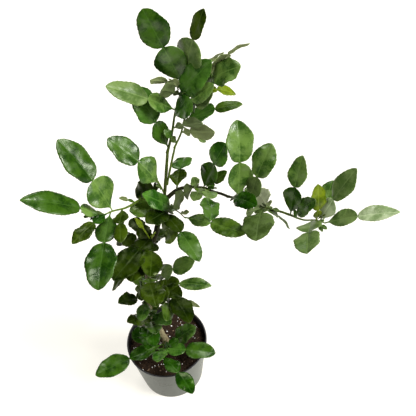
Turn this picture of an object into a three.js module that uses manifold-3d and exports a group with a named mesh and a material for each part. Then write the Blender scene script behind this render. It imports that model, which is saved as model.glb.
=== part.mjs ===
// Potted kaffir lime tree: a nursery pot of soil, a leaning trunk, thin boughs and leafy shoots.
// Millimetres, +Z up. The origin is the centre of the pot's flat underside.
import * as THREE from 'three';
import { mergeVertices } from 'three/addons/utils/BufferGeometryUtils.js';
import Module from 'manifold-3d';

const wasm = await Module();
wasm.setup();

// Driving sizes. A heading turns from +X towards +Y and a climb rises from the level, in degrees.
const clearance = 0.35;
const pot = {
  height: 130, rimDiameter: 165, baseDiameter: 131, wall: 1.8, floor: 3,
  lip: 1.4, lipHeight: 3.5, sides: 64,
};
const soil = { top: 114, sides: 40 };

// A limb is a tapering tube through its path. "from" names what it grows out of:
// at the end of that limb, or out of its side at "along" of its length.
const limbs = {
  trunk: {
    diameters: [13.4, 8.2], flare: 0.45, flareLength: 11, steps: 22, sides: 10, colour: 0x6b6a45,
    path: [[0, 0, soil.top], [-10, 0, 174], [-20, 0, 240], [-20, 0, 287], [-9, 2, 361], [6, 4, 433],
      [21, 5, 480], [33, 5, 530], [42, 4, 558]],
  },
  leader: {
    from: 'trunk', diameters: [5.3, 4.4], steps: 6, sides: 8, colour: 0x2c3a1e,
    path: [[50, 19, 603], [54, 30, 625]],
  },
  secondUpright: {
    from: 'leader', along: 0.3, diameters: [3.5, 3.1], steps: 5, sides: 7, colour: 0x4c6130,
    path: [[58, 22, 609], [66, 29, 635]],
  },
  rightBoughInner: {
    from: 'trunk', along: 0.985, diameters: [7.2, 5.2], steps: 6, sides: 8, colour: 0x3c4428,
    path: [[64, 11, 563], [82, 13, 565]],
  },
  rightBoughMiddle: {
    from: 'rightInnerFoliage', diameters: [4.4, 4.1], steps: 4, sides: 8, colour: 0x465530,
    path: [[129, 1, 556], [139, -2, 552]],
  },
  rightBoughOuter: {
    from: 'rightMiddleFoliage', diameters: [3.8, 3.5], steps: 4, sides: 8, colour: 0x4d5e34,
    path: [[219, -22, 529], [230, -25, 525]],
  },
  leftBough: {
    from: 'trunk', along: 0.97, diameters: [5, 4.2], steps: 6, sides: 8, colour: 0x3c5a26,
    path: [[25, -15, 578], [9, -20, 581]],
  },
};

// The photo that the leaves were read from, 416 pixels square: where its eye stood, how far it looked
// down and leaned over, and its focal length and middle in pixels.
const photo = { eye: [107, -626.4, 1230], pitch: 48.3, roll: 4.7, focal: 600, middle: 208 };

// The shoots: each is one stem with its leaves. A leaf has a wing, then a narrow joint, then a blade:
// [along the stem, its tip in the photo, length, share of the wing, blade width, wing width,
// turn of its face from the viewer]. The tips of "behind" leaves reach away from the viewer.
// A shoot with a "spiral" gets its leaves by rule instead, alternating about a heading.
const shoots = {
  crownLeftFoliage: {
    from: 'leader', diameters: [4.3, 2], colour: 0x3f6a2e, seed: 11,
    path: [[63, 36, 652], [72, 45, 687], [85, 50, 724], [91, 51, 742]],
    leaves: [
      [0.9, [142, 8], 121, 0.53, 41, 45, -12], [1, [204, 8], 104, 0.57, 22, 47, -35],
      [0.85, [150, 80], 60, 0.5, 18, 20, 130], [0.75, [161, 90], 50, 0.25, 24, 10, 155],
      [0.55, [105, 86], 112, 0.45, 33, 30, 30], [0.05, [135, 87], 108, 0.46, 42, 30, 25],
      [0.46, [214, 84], 97, 0.56, 25, 34, -25], [0.97, [188, 65], 18, 0.5, 10, 8, 10],
      [0.32, [203, 123], 68, 0.3, 18, 12, -150], [0.71, [212, 60], 88, 0.15, 39, 8, -25],
    ],
    behind: [
      [0.93, [224, 52], 80, 0.45, 18, 14, -70],
    ],
  },
  crownRightFoliage: {
    from: 'secondUpright', diameters: [3, 1.8], colour: 0x446f30, seed: 23,
    path: [[77, 34, 656], [86, 39, 684], [100, 43, 710], [117, 43, 736]],
    leaves: [
      [0.05, [164, 130], 32, 0.5, 13, 10, 25], [1, [250, 43], 100, 0.6, 16, 26, -115],
      [0.95, [241, 66], 75, 0.35, 36, 26, -28], [0.8, [222, 63], 52, 0.35, 24, 16, 20],
      [0.55, [213, 93], 62, 0.4, 27, 22, -20], [0.37, [243, 104], 92, 0.57, 22, 38, -50],
      [0.22, [215, 132], 64, 0.25, 26, 14, -155],
    ],
    behind: [
      [0.85, [236, 94], 62, 0.45, 18, 16, -40], [0.3, [206, 142], 46, 0.6, 11, 5, -30],
    ],
  },
  forkFoliage: {
    from: 'leader', along: 0.12, diameters: [2.8, 1.6], colour: 0x3a6428, seed: 31,
    path: [[37, 6, 584], [34, 6, 594]],
    leaves: [
      [0.6, [107, 138], 112, 0.49, 38, 42, 25], [0.15, [157, 184], 14, 0.4, 7, 5, 0],
    ],
    behind: [
      [0.4, [135, 192], 55, 0.25, 30, 16, 15],
    ],
  },
  spurFoliage: {
    from: 'rightBoughInner', along: 0.55, diameters: [2.4, 1.8], colour: 0x3a6428, seed: 41,
    path: [[62, 7, 571], [63, 6, 578]],
    behind: [
      [0.12, [184, 157], 80, 0.53, 36, 27, -25],
    ],
  },
  rightInnerFoliage: {
    from: 'rightBoughInner', diameters: [5, 4.5], colour: 0x3e692c, seed: 43,
    path: [[93, 11, 564], [104, 9, 563], [115, 5, 559]],
    leaves: [
      [0.6, [226, 143], 96, 0.58, 34, 34, -28], [0.77, [227, 171], 48, 0.4, 17, 14, -25],
      [0.3, [193, 177], 25, 0.3, 15, 10, 10], [0.65, [211, 221], 85, 0.4, 29, 30, -25],
      [0.53, [194, 201], 50, 0.4, 20, 16, 25], [0.15, [173, 206], 62, 0.42, 29, 26, 135],
    ],
  },
  rightMiddleFoliage: {
    from: 'rightBoughMiddle', diameters: [4, 3.6], colour: 0x426f2f, seed: 47,
    path: [[157, -6, 548], [182, -14, 539], [205, -19, 532]],
    leaves: [
      [0.2, [237, 119], 126, 0.49, 45, 41, 25], [0.5, [272, 143], 108, 0.47, 39, 28, -25],
      [0.07, [257, 206], 62, 0.2, 30, 17, -25], [0.87, [246, 213], 60, 0.5, 17, 15, 155],
      [0.82, [256, 241], 92, 0.28, 48, 22, 20],
    ],
    behind: [
      [0.93, [256, 191], 62, 0.3, 34, 22, 155], [0.78, [290, 229], 60, 0.5, 16, 30, -75],
    ],
  },
  rightOuterFoliage: {
    from: 'rightBoughOuter', diameters: [3.5, 2], colour: 0x4a7a34, seed: 53,
    path: [[253, -32, 517], [272, -32, 514], [286, -36, 510]],
    leaves: [
      [0.05, [303, 155], 102, 0.49, 30, 34, -25], [0.13, [316, 200], 60, 0.25, 28, 16, -25],
      [0.75, [318, 184], 75, 0.35, 25, 14, 25], [0.85, [357, 168], 112, 0.44, 32, 28, -25],
      [1, [401, 212], 125, 0.5, 25, 30, -28], [0.65, [307, 254], 95, 0.48, 40, 40, 25],
    ],
    behind: [
      [0.95, [333, 180], 75, 0.4, 31, 18, -25],
    ],
  },
  leftFoliage: {
    from: 'leftBough', diameters: [4, 2.2], colour: 0x3b6a2b, seed: 59,
    path: [[-14, -27, 573], [-34, -29, 570], [-49, -33, 567]],
    leaves: [
      [0.75, [57, 139], 138, 0.44, 45, 54, 28], [1, [19, 200], 132, 0.33, 38, 21, 35],
      [0.8, [98, 291], 124, 0.43, 48, 36, 25], [0.9, [72, 244], 80, 0.4, 24, 18, 28],
      [0.5, [121, 243], 66, 0.5, 22, 24, 25], [0.95, [81, 212], 38, 0.5, 10, 8, 45],
      [0.15, [119, 198], 28, 0.5, 8, 6, 35],
    ],
  },
  droopingFoliage: {
    from: 'trunk', along: 0.96, diameters: [2.4, 1.6], colour: 0x2d5022, seed: 61,
    path: [[61, -16, 542], [71, -25, 536]],
    leaves: [
      [0.55, [142, 194], 72, 0.22, 29, 13, 25], [0.32, [129, 211], 68, 0.28, 33, 20, 25],
      [0.41, [146, 223], 62, 0.28, 31, 20, 25], [0.96, [246, 234], 102, 0.45, 31, 24, -25],
      [0.75, [189, 212], 22, 0.4, 8, 7, -25],
    ],
  },
  upperLeftFoliage: {
    from: 'trunk', along: 0.68, diameters: [2.8, 1.6], colour: 0x2f5423, seed: 67,
    path: [[3, -11, 436], [6, -12, 456], [13, -10, 480]],
    leaves: [
      [0.98, [113, 281], 112, 0.34, 44, 34, 25], [0.84, [135, 218], 56, 0.6, 9, 3, 15],
      [0.64, [131, 282], 88, 0.4, 38, 32, 25], [0.92, [150, 277], 84, 0.4, 38, 24, -20],
      [0.7, [139, 225], 45, 0.35, 26, 18, 15],
    ],
    behind: [
      [0.88, [130, 219], 52, 0.4, 26, 22, 25], [0.77, [121, 240], 54, 0.45, 26, 22, 25],
      [0.54, [112, 291], 105, 0.5, 20, 22, 45],
    ],
  },
  upperRightFoliage: {
    from: 'trunk', along: 0.84, diameters: [2.6, 1.6], colour: 0x2f5423, seed: 71,
    path: [[32, -8, 514], [37, -11, 542]],
    leaves: [
      [0.95, [200, 262], 112, 0.5, 31, 28, -25],
    ],
    behind: [
      [0.75, [172, 243], 55, 0.45, 26, 20, -25],
    ],
  },
  middleRightFoliage: {
    from: 'trunk', along: 0.45, diameters: [2.8, 1.6], colour: 0x355f28, seed: 73,
    path: [[-3, -9, 333], [5, -8, 351], [12, -6, 367]],
    leaves: [
      [0.96, [195, 261], 84, 0.45, 31, 28, -25], [0.52, [212, 286], 112, 0.46, 27, 30, -37],
      [0.75, [165, 303], 62, 0.4, 32, 26, 25], [0.63, [182, 297], 62, 0.4, 30, 24, -20],
    ],
  },
  middleLeftFoliage: {
    from: 'trunk', along: 0.4, diameters: [2.8, 1.6], colour: 0x355f28, seed: 79,
    path: [[-17, -13, 318], [-14, -17, 350], [-4, -17, 386]],
    leaves: [
      [0.77, [130, 279], 42, 0.35, 22, 15, 25], [0.93, [156, 307], 82, 0.25, 42, 28, -10],
      [0.22, [118, 303], 72, 0.42, 26, 18, 25], [0.36, [135, 289], 42, 0.3, 19, 11, 25],
      [0.12, [141, 321], 58, 0.3, 26, 16, 25],
    ],
  },
  lowRightFoliage: {
    from: 'trunk', along: 0.3, diameters: [2.8, 1.6], colour: 0x2f5423, seed: 83,
    path: [[-6, -13, 264], [9, -14, 286], [27, -10, 318]],
    leaves: [
      [0.96, [190, 323], 84, 0.22, 39, 24, -25], [0.86, [166, 321], 70, 0.35, 26, 20, -25],
      [0.7, [200, 307], 76, 0.45, 16, 12, -50],
    ],
  },
  lowLeftFoliage: {
    from: 'trunk', along: 0.19, diameters: [2.8, 1.6], colour: 0x355f28, seed: 89,
    path: [[-18, -14, 215], [-21, -15, 240], [-21, -14, 262]],
    leaves: [
      [0.88, [138, 326], 66, 0.35, 31, 22, 25], [0.8, [127, 322], 55, 0.4, 22, 15, 25],
      [0.69, [156, 334], 60, 0.3, 31, 20, -20], [0.97, [171, 324], 66, 0.3, 30, 21, -25],
      [0.55, [146, 338], 60, 0.35, 28, 20, 25], [0.62, [154, 347], 66, 0.35, 28, 20, -20],
    ],
  },
  footLeftFoliage: {
    from: 'trunk', along: 0.07, diameters: [2.6, 1.6], colour: 0x34702c, seed: 97,
    path: [[-18, -4, 153], [-25, -6, 168]],
    leaves: [
      [0.63, [132, 338], 76, 0.36, 40, 28, 25], [0.84, [146, 349], 54, 0.35, 31, 22, 5],
    ],
  },
  footFrontFoliage: {
    from: 'trunk', along: 0.05, diameters: [3, 1.8], colour: 0x3f7a2c, seed: 101,
    path: [[-6, -22, 142], [-9, -46, 148]],
    leaves: [
      [0.17, [94, 376], 150, 0.51, 43, 31, 25], [0.47, [157, 362], 66, 0.25, 29, 20, 25],
      [0.66, [216, 353], 112, 0.46, 38, 30, -28], [0.97, [193, 394], 110, 0.53, 34, 31, -27],
      [0.38, [179, 341], 42, 0.4, 20, 15, -27],
    ],
  },
  footRightFoliage: {
    from: 'trunk', along: 0.02, diameters: [2.4, 1.6], colour: 0x34702c, seed: 103,
    path: [[6, -9, 126], [11, -13, 138]],
    leaves: [
      [0.78, [196, 327], 74, 0.25, 37, 20, -22],
    ],
  },
  backUpperFoliage: {
    from: 'trunk', along: 0.58, diameters: [2.8, 1.6], colour: 0x2f5423, seed: 107,
    path: [[-8, 14, 388], [-10, 20, 404], [-9, 24, 420]],
    spiral: { count: 4, heading: 100, spread: 45, climb: -30, length: 82 },
  },
  backMiddleFoliage: {
    from: 'trunk', along: 0.36, diameters: [2.8, 1.6], colour: 0x2f5423, seed: 109,
    path: [[-22, 12, 290], [-25, 18, 306], [-24, 22, 322]],
    spiral: { count: 4, heading: 74, spread: 28, climb: -30, length: 78 },
  },
  backLowFoliage: {
    from: 'trunk', along: 0.16, diameters: [2.8, 1.6], colour: 0x2f5423, seed: 113,
    path: [[-20, 12, 198], [-24, 18, 212], [-24, 22, 226]],
    spiral: { count: 3, heading: 78, spread: 34, climb: -12, length: 66 },
  },
};

const leafShape = {
  stalkShare: 0.05, jointWidth: 2.4, stalkWidth: 2.4, thickness: 1.7, fold: [0.1, 0.3], bend: [17, 39],
  wingLean: 1.35, wingSharpness: [0.85, 0.5], bladeLean: 0.9, bladeSharpness: 0.5,
  slender: [1.2, 2.7], tipSharpness: [0.5, 0.75],
  wingStations: [0, 0.25, 0.6, 0.88, 1], bladeStations: [0.08, 0.28, 0.55, 0.86, 1],
};

// How far the leaves that grow by rule differ from each other; widths are shares of the length.
const spiralRange = {
  along: [0.35, 0.97], spread: [0.6, 1.2], climb: [-10, 10], length: [0.85, 1.15], turn: [-15, 15],
  wingShare: [0.4, 0.48], blade: [0.33, 0.4], wing: [0.24, 0.32],
};

const radians = THREE.MathUtils.degToRad;
const { clamp, lerp, mapLinear } = THREE.MathUtils;

function headingVector(heading, climb) {
  const h = radians(heading);
  const c = radians(climb);
  return new THREE.Vector3(Math.cos(c) * Math.cos(h), Math.cos(c) * Math.sin(h), Math.sin(c));
}

// A repeatable stream of numbers from 0 to 1.
function seededRandom(seed) {
  let state = seed * 48271;
  return () => {
    state = (state * 16807) % 2147483647;
    return state / 2147483647;
  };
}

// A closed skin over rings that hold the same number of points, flat at both ends.
function skin(rings) {
  const count = rings[0].length;
  const points = rings.flat();
  const triangles = [];
  for (let ring = 0; ring < rings.length - 1; ring += 1) {
    for (let side = 0; side < count; side += 1) {
      const a = ring * count + side;
      const b = ring * count + (side + 1) % count;
      triangles.push(a, b, b + count, a, b + count, a + count);
    }
  }
  const last = (rings.length - 1) * count;
  for (let side = 1; side < count - 1; side += 1) {
    triangles.push(0, side + 1, side);
    triangles.push(last, last + side, last + side + 1);
  }
  const geometry = new THREE.BufferGeometry().setFromPoints(points);
  geometry.setIndex(triangles);
  return geometry;
}

function toSolid(geometry) {
  const plain = geometry.clone();
  plain.deleteAttribute('normal');
  plain.deleteAttribute('uv');
  const merged = mergeVertices(plain, 1e-4);
  return new wasm.Manifold(new wasm.Mesh({
    numProp: 3,
    vertProperties: new Float32Array(merged.attributes.position.array),
    triVerts: new Uint32Array(merged.index.array),
  }));
}

function toGeometry(solid) {
  const mesh = solid.getMesh();
  const geometry = new THREE.BufferGeometry();
  geometry.setAttribute('position', new THREE.BufferAttribute(mesh.vertProperties, 3));
  geometry.setIndex(new THREE.BufferAttribute(mesh.triVerts, 1));
  return geometry;
}

// A tapering tube along a smooth curve; the radius falls evenly, with a flare at the foot.
function limbGeometry(curve, size, firstDirection) {
  const rings = [];
  for (let step = 0; step <= size.steps; step += 1) {
    const t = step / size.steps;
    const centre = curve.getPointAt(t);
    const along = step === 0 && firstDirection ? firstDirection : curve.getTangentAt(t);
    const side = new THREE.Vector3(0, 1, 0).cross(along).normalize();
    const other = new THREE.Vector3().crossVectors(along, side);
    const radius = radiusAt(size, t, curve.getLength());
    const ring = [];
    for (let corner = 0; corner < size.sides; corner += 1) {
      const angle = corner / size.sides * 2 * Math.PI;
      ring.push(centre.clone()
        .addScaledVector(side, radius * Math.cos(angle))
        .addScaledVector(other, radius * Math.sin(angle)));
    }
    rings.push(ring);
  }
  return skin(rings);
}

function radiusAt(size, t, length) {
  const taper = lerp(size.diameters[0], size.diameters[1], t) / 2;
  const flare = size.flare ? size.flare * Math.exp(-t * length / size.flareLength) : 0;
  return taper * (1 + flare);
}

// The leaf's cross sections from stalk to tip: each one's share of the length and half its width.
// A lobe is a sine, widest late where its lean is over 1, and to a power, its sharpness, which goes
// from one value at its foot to another at its tip; a slender blade has a sharper tip.
function leafSections({ length, wingShare, blade, wing }) {
  const shape = leafShape;
  const half = (bulge) => Math.max(shape.jointWidth, bulge) / 2;
  const lobe = (u, lean, sharpness) => Math.sin(Math.PI * u ** lean) ** lerp(...sharpness, u);
  const slenderness = clamp(length * (1 - wingShare) / blade, ...shape.slender);
  const tipSharpness = mapLinear(slenderness, ...shape.slender, ...shape.tipSharpness);
  const onWing = (u) => wing * lobe(u, shape.wingLean, shape.wingSharpness);
  const onBlade = (u) => blade * lobe(u, shape.bladeLean, [shape.bladeSharpness, tipSharpness]);
  return [
    [0, shape.stalkWidth / 2],
    ...shape.wingStations.map((u) => [lerp(shape.stalkShare, wingShare, u), half(onWing(u))]),
    ...shape.bladeStations.map((u) => [lerp(wingShare, 1, u), half(onBlade(u))]),
  ];
}

// The direction from the eye through a pixel of the photo.
function sightLine([x, y]) {
  const pitch = radians(photo.pitch);
  const roll = radians(photo.roll);
  const level = new THREE.Vector3(1, 0, 0);
  const down = new THREE.Vector3(0, -Math.sin(pitch), -Math.cos(pitch));
  const right = level.clone().multiplyScalar(Math.cos(roll)).addScaledVector(down, Math.sin(roll));
  const lower = down.clone().multiplyScalar(Math.cos(roll)).addScaledVector(level, -Math.sin(roll));
  return new THREE.Vector3(0, Math.cos(pitch), -Math.sin(pitch))
    .addScaledVector(right, (x - photo.middle) / photo.focal)
    .addScaledVector(lower, (y - photo.middle) / photo.focal)
    .normalize();
}

// Which way a leaf points for its tip to lie on the line of sight through its pixel: to the nearer
// or the farther crossing of that line with the sphere of the leaf's span, or else towards the line.
function towardTip(root, { tip, behind }, span) {
  const eye = new THREE.Vector3(...photo.eye);
  const sight = sightLine(tip);
  const depth = root.clone().sub(eye).dot(sight);
  const nearest = eye.addScaledVector(sight, depth);
  const spare = Math.sqrt(Math.max(0, span ** 2 - nearest.distanceToSquared(root)));
  return nearest.addScaledVector(sight, behind ? spare : -spare).sub(root).normalize();
}

// A leaf's own directions: forward along it, and the way its face looks, which is to the viewer, or
// up where it grows by rule, turned about the leaf.
function leafAxes(root, leaf, span) {
  const forward = leaf.tip ? towardTip(root, leaf, span) : headingVector(leaf.heading, leaf.climb);
  const toward = leaf.tip ? new THREE.Vector3(...photo.eye).sub(root) : new THREE.Vector3(0, 0, 1);
  const face = toward.addScaledVector(forward, -toward.dot(forward)).normalize()
    .applyAxisAngle(forward, radians(leaf.turn));
  return { forward, face, side: new THREE.Vector3().crossVectors(forward, face) };
}

// A leaf as a thin solid, folded up from the midrib, which is an arc that droops from end to end.
function leafGeometry(root, leaf, random) {
  const shape = leafShape;
  const bend = radians(lerp(...shape.bend, random()));
  const fold = lerp(...shape.fold, random());
  const span = leaf.length * 2 * Math.sin(bend / 2) / bend;
  const { forward, face, side } = leafAxes(root, leaf, span);
  const rings = [];
  for (const [share, half] of leafSections(leaf)) {
    const turn = bend * (share - 0.5);
    const reach = (Math.sin(turn) + Math.sin(bend / 2)) / bend;
    const lift = (Math.cos(turn) - Math.cos(bend / 2)) / bend;
    const centre = root.clone().addScaledVector(forward, reach * leaf.length)
      .addScaledVector(face, lift * leaf.length);
    const rise = fold * half;
    const thick = shape.thickness / 2;
    const corner = (across, up) => centre.clone().addScaledVector(side, across)
      .addScaledVector(face, up);
    rings.push([corner(-half, rise), corner(0, thick), corner(half, rise), corner(0, -thick)]);
  }
  return skin(rings);
}

const grown = {};

// The point and direction where a limb or shoot starts, clear of what it grows out of.
function rootOf(size) {
  const parent = grown[size.from];
  if (size.along === undefined) {
    const direction = parent.curve.getTangentAt(1);
    return { start: parent.curve.getPointAt(1).addScaledVector(direction, clearance), direction };
  }
  const axisPoint = parent.curve.getPointAt(size.along);
  const axis = parent.curve.getTangentAt(size.along);
  const toward = new THREE.Vector3(...size.path[0]).sub(axisPoint);
  const direction = toward.clone().addScaledVector(axis, -toward.dot(axis)).normalize();
  const radius = radiusAt(parent.size, size.along, parent.curve.getLength());
  return { start: axisPoint.addScaledVector(direction, radius + clearance), direction };
}

function curveOf(size) {
  const points = size.path.map((point) => new THREE.Vector3(...point));
  if (!size.from) return { curve: new THREE.CatmullRomCurve3(points) };
  const { start, direction } = rootOf(size);
  return { curve: new THREE.CatmullRomCurve3([start, ...points]), direction };
}

function growLimb(name, size) {
  const { curve, direction } = curveOf(size);
  grown[name] = { curve, size };
  const upright = direction ?? new THREE.Vector3(0, 0, 1);
  return limbGeometry(curve, size, upright);
}

// Leaves by rule: evenly up the stem, alternating to either side of the heading, with small chances.
function spiralLeaves(spiral, random) {
  const leaves = [];
  for (let index = 0; index < spiral.count; index += 1) {
    const side = index % 2 === 0 ? 1 : -1;
    const along = lerp(...spiralRange.along, index / (spiral.count - 1));
    const heading = spiral.heading + side * spiral.spread * lerp(...spiralRange.spread, random());
    const climb = spiral.climb + lerp(...spiralRange.climb, random());
    const length = spiral.length * lerp(...spiralRange.length, random());
    const turn = lerp(...spiralRange.turn, random());
    const wingShare = lerp(...spiralRange.wingShare, random());
    const blade = length * lerp(...spiralRange.blade, random());
    const wing = length * lerp(...spiralRange.wing, random());
    leaves.push({ along, heading, climb, length, turn, wingShare, blade, wing });
  }
  return leaves;
}

// Leaves that were read from the photo.
function placedLeaves({ leaves = [], behind = [] }) {
  const placed = (away) => ([along, tip, length, wingShare, blade, wing, turn]) => (
    { along, tip, length, wingShare, blade, wing, turn, behind: away });
  return [...leaves.map(placed(false)), ...behind.map(placed(true))];
}

function growShoot(name, shoot) {
  const size = { steps: 4, sides: 6, ...shoot };
  const { curve, direction } = curveOf(size);
  grown[name] = { curve, size };
  const random = seededRandom(size.seed);
  const leaves = size.spiral ? spiralLeaves(size.spiral, random) : placedLeaves(size);
  let solid = toSolid(limbGeometry(curve, size, direction));
  for (const leaf of leaves) {
    solid = solid.add(toSolid(leafGeometry(curve.getPointAt(leaf.along), leaf, random)));
  }
  return toGeometry(solid);
}

function lathe(profile, sides) {
  const points = profile.map(([radius, height]) => new THREE.Vector2(radius, height));
  return new THREE.LatheGeometry(points, sides).rotateX(Math.PI / 2);
}

function potRadius(height) {
  return lerp(pot.baseDiameter, pot.rimDiameter - 2 * pot.lip, height / pot.height) / 2;
}

function potGeometry() {
  const inner = (height) => potRadius(height) - pot.wall;
  const lipBottom = pot.height - pot.lipHeight;
  return lathe([
    [0, 0], [potRadius(0), 0], [potRadius(lipBottom), lipBottom],
    [pot.rimDiameter / 2, lipBottom + pot.lip], [pot.rimDiameter / 2, pot.height],
    [inner(pot.height), pot.height], [inner(pot.floor), pot.floor], [0, pot.floor],
  ], pot.sides);
}

function soilGeometry() {
  const edge = (height) => (potRadius(height) - pot.wall) * Math.cos(Math.PI / pot.sides) - clearance;
  return lathe([
    [0, pot.floor], [edge(pot.floor), pot.floor], [edge(soil.top), soil.top], [0, soil.top],
  ], soil.sides);
}

function piece(name, geometry, colour, roughness) {
  const material = new THREE.MeshStandardMaterial({ color: colour, roughness, metalness: 0 });
  const mesh = new THREE.Mesh(geometry, material);
  mesh.name = name;
  return mesh;
}

const tree = new THREE.Group();
tree.add(piece('pot', potGeometry(), 0x8a8f8c, 0.4));
tree.add(piece('soil', soilGeometry(), 0x3a241a, 0.95));
const order = [
  'trunk', 'leader', 'secondUpright', 'crownLeftFoliage', 'crownRightFoliage', 'forkFoliage',
  'rightBoughInner', 'spurFoliage', 'rightInnerFoliage', 'rightBoughMiddle', 'rightMiddleFoliage',
  'rightBoughOuter', 'rightOuterFoliage', 'leftBough', 'leftFoliage', 'droopingFoliage',
  'upperLeftFoliage', 'upperRightFoliage', 'middleRightFoliage', 'middleLeftFoliage',
  'lowRightFoliage', 'lowLeftFoliage', 'footLeftFoliage', 'footFrontFoliage', 'footRightFoliage',
  'backUpperFoliage', 'backMiddleFoliage', 'backLowFoliage',
];
for (const name of order) {
  if (limbs[name]) tree.add(piece(name, growLimb(name, limbs[name]), limbs[name].colour, 0.7));
  else tree.add(piece(name, growShoot(name, shoots[name]), shoots[name].colour, 0.45));
}

export default tree;
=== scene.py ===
import math

import bpy
import numpy as np
from mathutils import Matrix


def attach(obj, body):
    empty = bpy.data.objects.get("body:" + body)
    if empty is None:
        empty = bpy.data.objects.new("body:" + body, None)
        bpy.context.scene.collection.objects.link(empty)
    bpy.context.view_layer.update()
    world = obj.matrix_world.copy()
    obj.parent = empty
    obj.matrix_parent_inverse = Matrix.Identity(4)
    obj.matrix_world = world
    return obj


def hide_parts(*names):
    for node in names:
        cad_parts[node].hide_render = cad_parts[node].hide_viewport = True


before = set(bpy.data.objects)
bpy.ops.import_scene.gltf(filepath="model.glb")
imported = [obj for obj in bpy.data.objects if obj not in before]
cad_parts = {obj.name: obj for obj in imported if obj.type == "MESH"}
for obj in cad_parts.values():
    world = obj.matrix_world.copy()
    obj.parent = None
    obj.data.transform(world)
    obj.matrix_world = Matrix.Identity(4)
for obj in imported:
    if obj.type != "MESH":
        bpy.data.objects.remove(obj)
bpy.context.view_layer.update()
mm = 0.001  # the sizes below are in millimetres, as on the plant's drawing; Blender works in metres
clearance = 0.35  # left where one limb grows out of another
tiny = 0.01  # radius of the ring that closes a disc at its middle


# A vector divided by its length.
def unitVector(vector):
    return vector / np.linalg.norm(vector)


# A heading turns from +X towards +Y and a climb rises from the level, in degrees.
def headingVector(heading, climb):
    h, c = math.radians(heading), math.radians(climb)
    return np.array([math.cos(c) * math.cos(h), math.cos(c) * math.sin(h), math.sin(c)])


# A vector turned about a unit axis: its part along the axis stays, and the rest goes to its cosine share
# plus the sine share of the direction square to both.
def turned(vector, axis, degrees):
    a = math.radians(degrees)
    along = axis * (axis @ vector)
    return along + (vector - along) * math.cos(a) + np.cross(axis, vector) * math.sin(a)


# From low to high, evenly as t goes from 0 to 1.
def lerp(low, high, t):
    return low + (high - low) * t


# A repeatable stream of numbers from 0 to 1, the same as in the plant's drawing.
def seededRandom(seed):
    state = seed * 48271
    while True:
        state = (state * 16807) % 2147483647
        yield state / 2147483647


# A smooth curve through the points: each span is the cubic with the two end points' slopes, worked
# out from knots spaced by the square root of the distance between points.
def splinePoints(points, count):
    p = np.array(points, float)
    p = np.vstack([2 * p[0] - p[1], p, 2 * p[-1] - p[-2]])
    spans = len(p) - 3
    place = np.linspace(0, spans, count)
    k = np.minimum(place.astype(int), spans - 1)
    w = (place - k)[:, None]
    p0, p1, p2, p3 = p[k], p[k + 1], p[k + 2], p[k + 3]
    pairs = ((p0, p1), (p1, p2), (p2, p3))
    d0, d1, d2 = (np.sqrt(np.linalg.norm(b - a, axis=1))[:, None] for a, b in pairs)
    t1 = ((p1 - p0) / d0 - (p2 - p0) / (d0 + d1) + (p2 - p1) / d1) * d1
    t2 = ((p2 - p1) / d1 - (p3 - p1) / (d1 + d2) + (p3 - p2) / d2) * d1
    return p1 + t1 * w + (3 * (p2 - p1) - 2 * t1 - t2) * w ** 2 + (2 * (p1 - p2) + t1 + t2) * w ** 3


# A path is its points at even arc length; a place on it is read by its share of the length.
class Path:
    def __init__(self, points, perSpan=200, count=401):
        dense = splinePoints(points, perSpan * (len(points) - 1) + 1)
        run = np.concatenate([[0], np.cumsum(np.linalg.norm(np.diff(dense, axis=0), axis=1))])
        self.length = run[-1]
        even = np.linspace(0, self.length, count)
        self.samples = np.stack([np.interp(even, run, dense[:, i]) for i in range(3)], 1)

    def at(self, share):
        x = np.linspace(0, 1, len(self.samples))
        return np.stack([np.interp(share, x, self.samples[:, i]) for i in range(3)], -1)

    def direction(self, share, step=0.001):
        return unitVector(self.at(min(share + step, 1)) - self.at(max(share - step, 0)))


# Limbs: "from" is what a limb grows out of, at its end or out of its side at "along" of its length.
# "age" runs from 0, old bark, to 1, green twig; the middle ages give near-black bark, partly painted shade
# inside the crown.
limbs = {
    "trunk": {
        "diameters": (13.4, 8.2), "flare": 0.45, "flareLength": 11, "age": (0.0, 0.35),
        "path": [(0, 0, 114), (-10, 0, 174), (-20, 0, 240), (-20, 0, 287), (-9, 2, 361), (6, 4, 433),
                 (21, 5, 480), (33, 5, 530), (42, 4, 558)],
    },
    "leader": {
        "from": "trunk", "diameters": (5.3, 4.4), "age": (0.62, 0.75),
        "path": [(50, 19, 603), (54, 30, 625)],
    },
    "secondUpright": {
        "from": "leader", "along": 0.3, "diameters": (3.5, 3.1), "age": (0.8, 0.9),
        "path": [(58, 22, 609), (66, 29, 635)],
    },
    "rightBoughInner": {
        "from": "trunk", "along": 0.985, "diameters": (7.2, 5.2), "age": (0.35, 0.45),
        "path": [(64, 11, 563), (82, 13, 565)],
    },
    "rightBoughMiddle": {
        "from": "rightInnerFoliage", "diameters": (4.4, 4.1), "age": (0.5, 0.55),
        "path": [(129, 1, 556), (139, -2, 552)],
    },
    "rightBoughOuter": {
        "from": "rightMiddleFoliage", "diameters": (3.8, 3.5), "age": (0.65, 0.7),
        "path": [(219, -22, 529), (230, -25, 525)],
    },
    "leftBough": {
        "from": "trunk", "along": 0.97, "diameters": (5, 4.2), "age": (0.8, 0.95),
        "path": [(25, -15, 578), (9, -20, 581)],
    },
}

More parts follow.
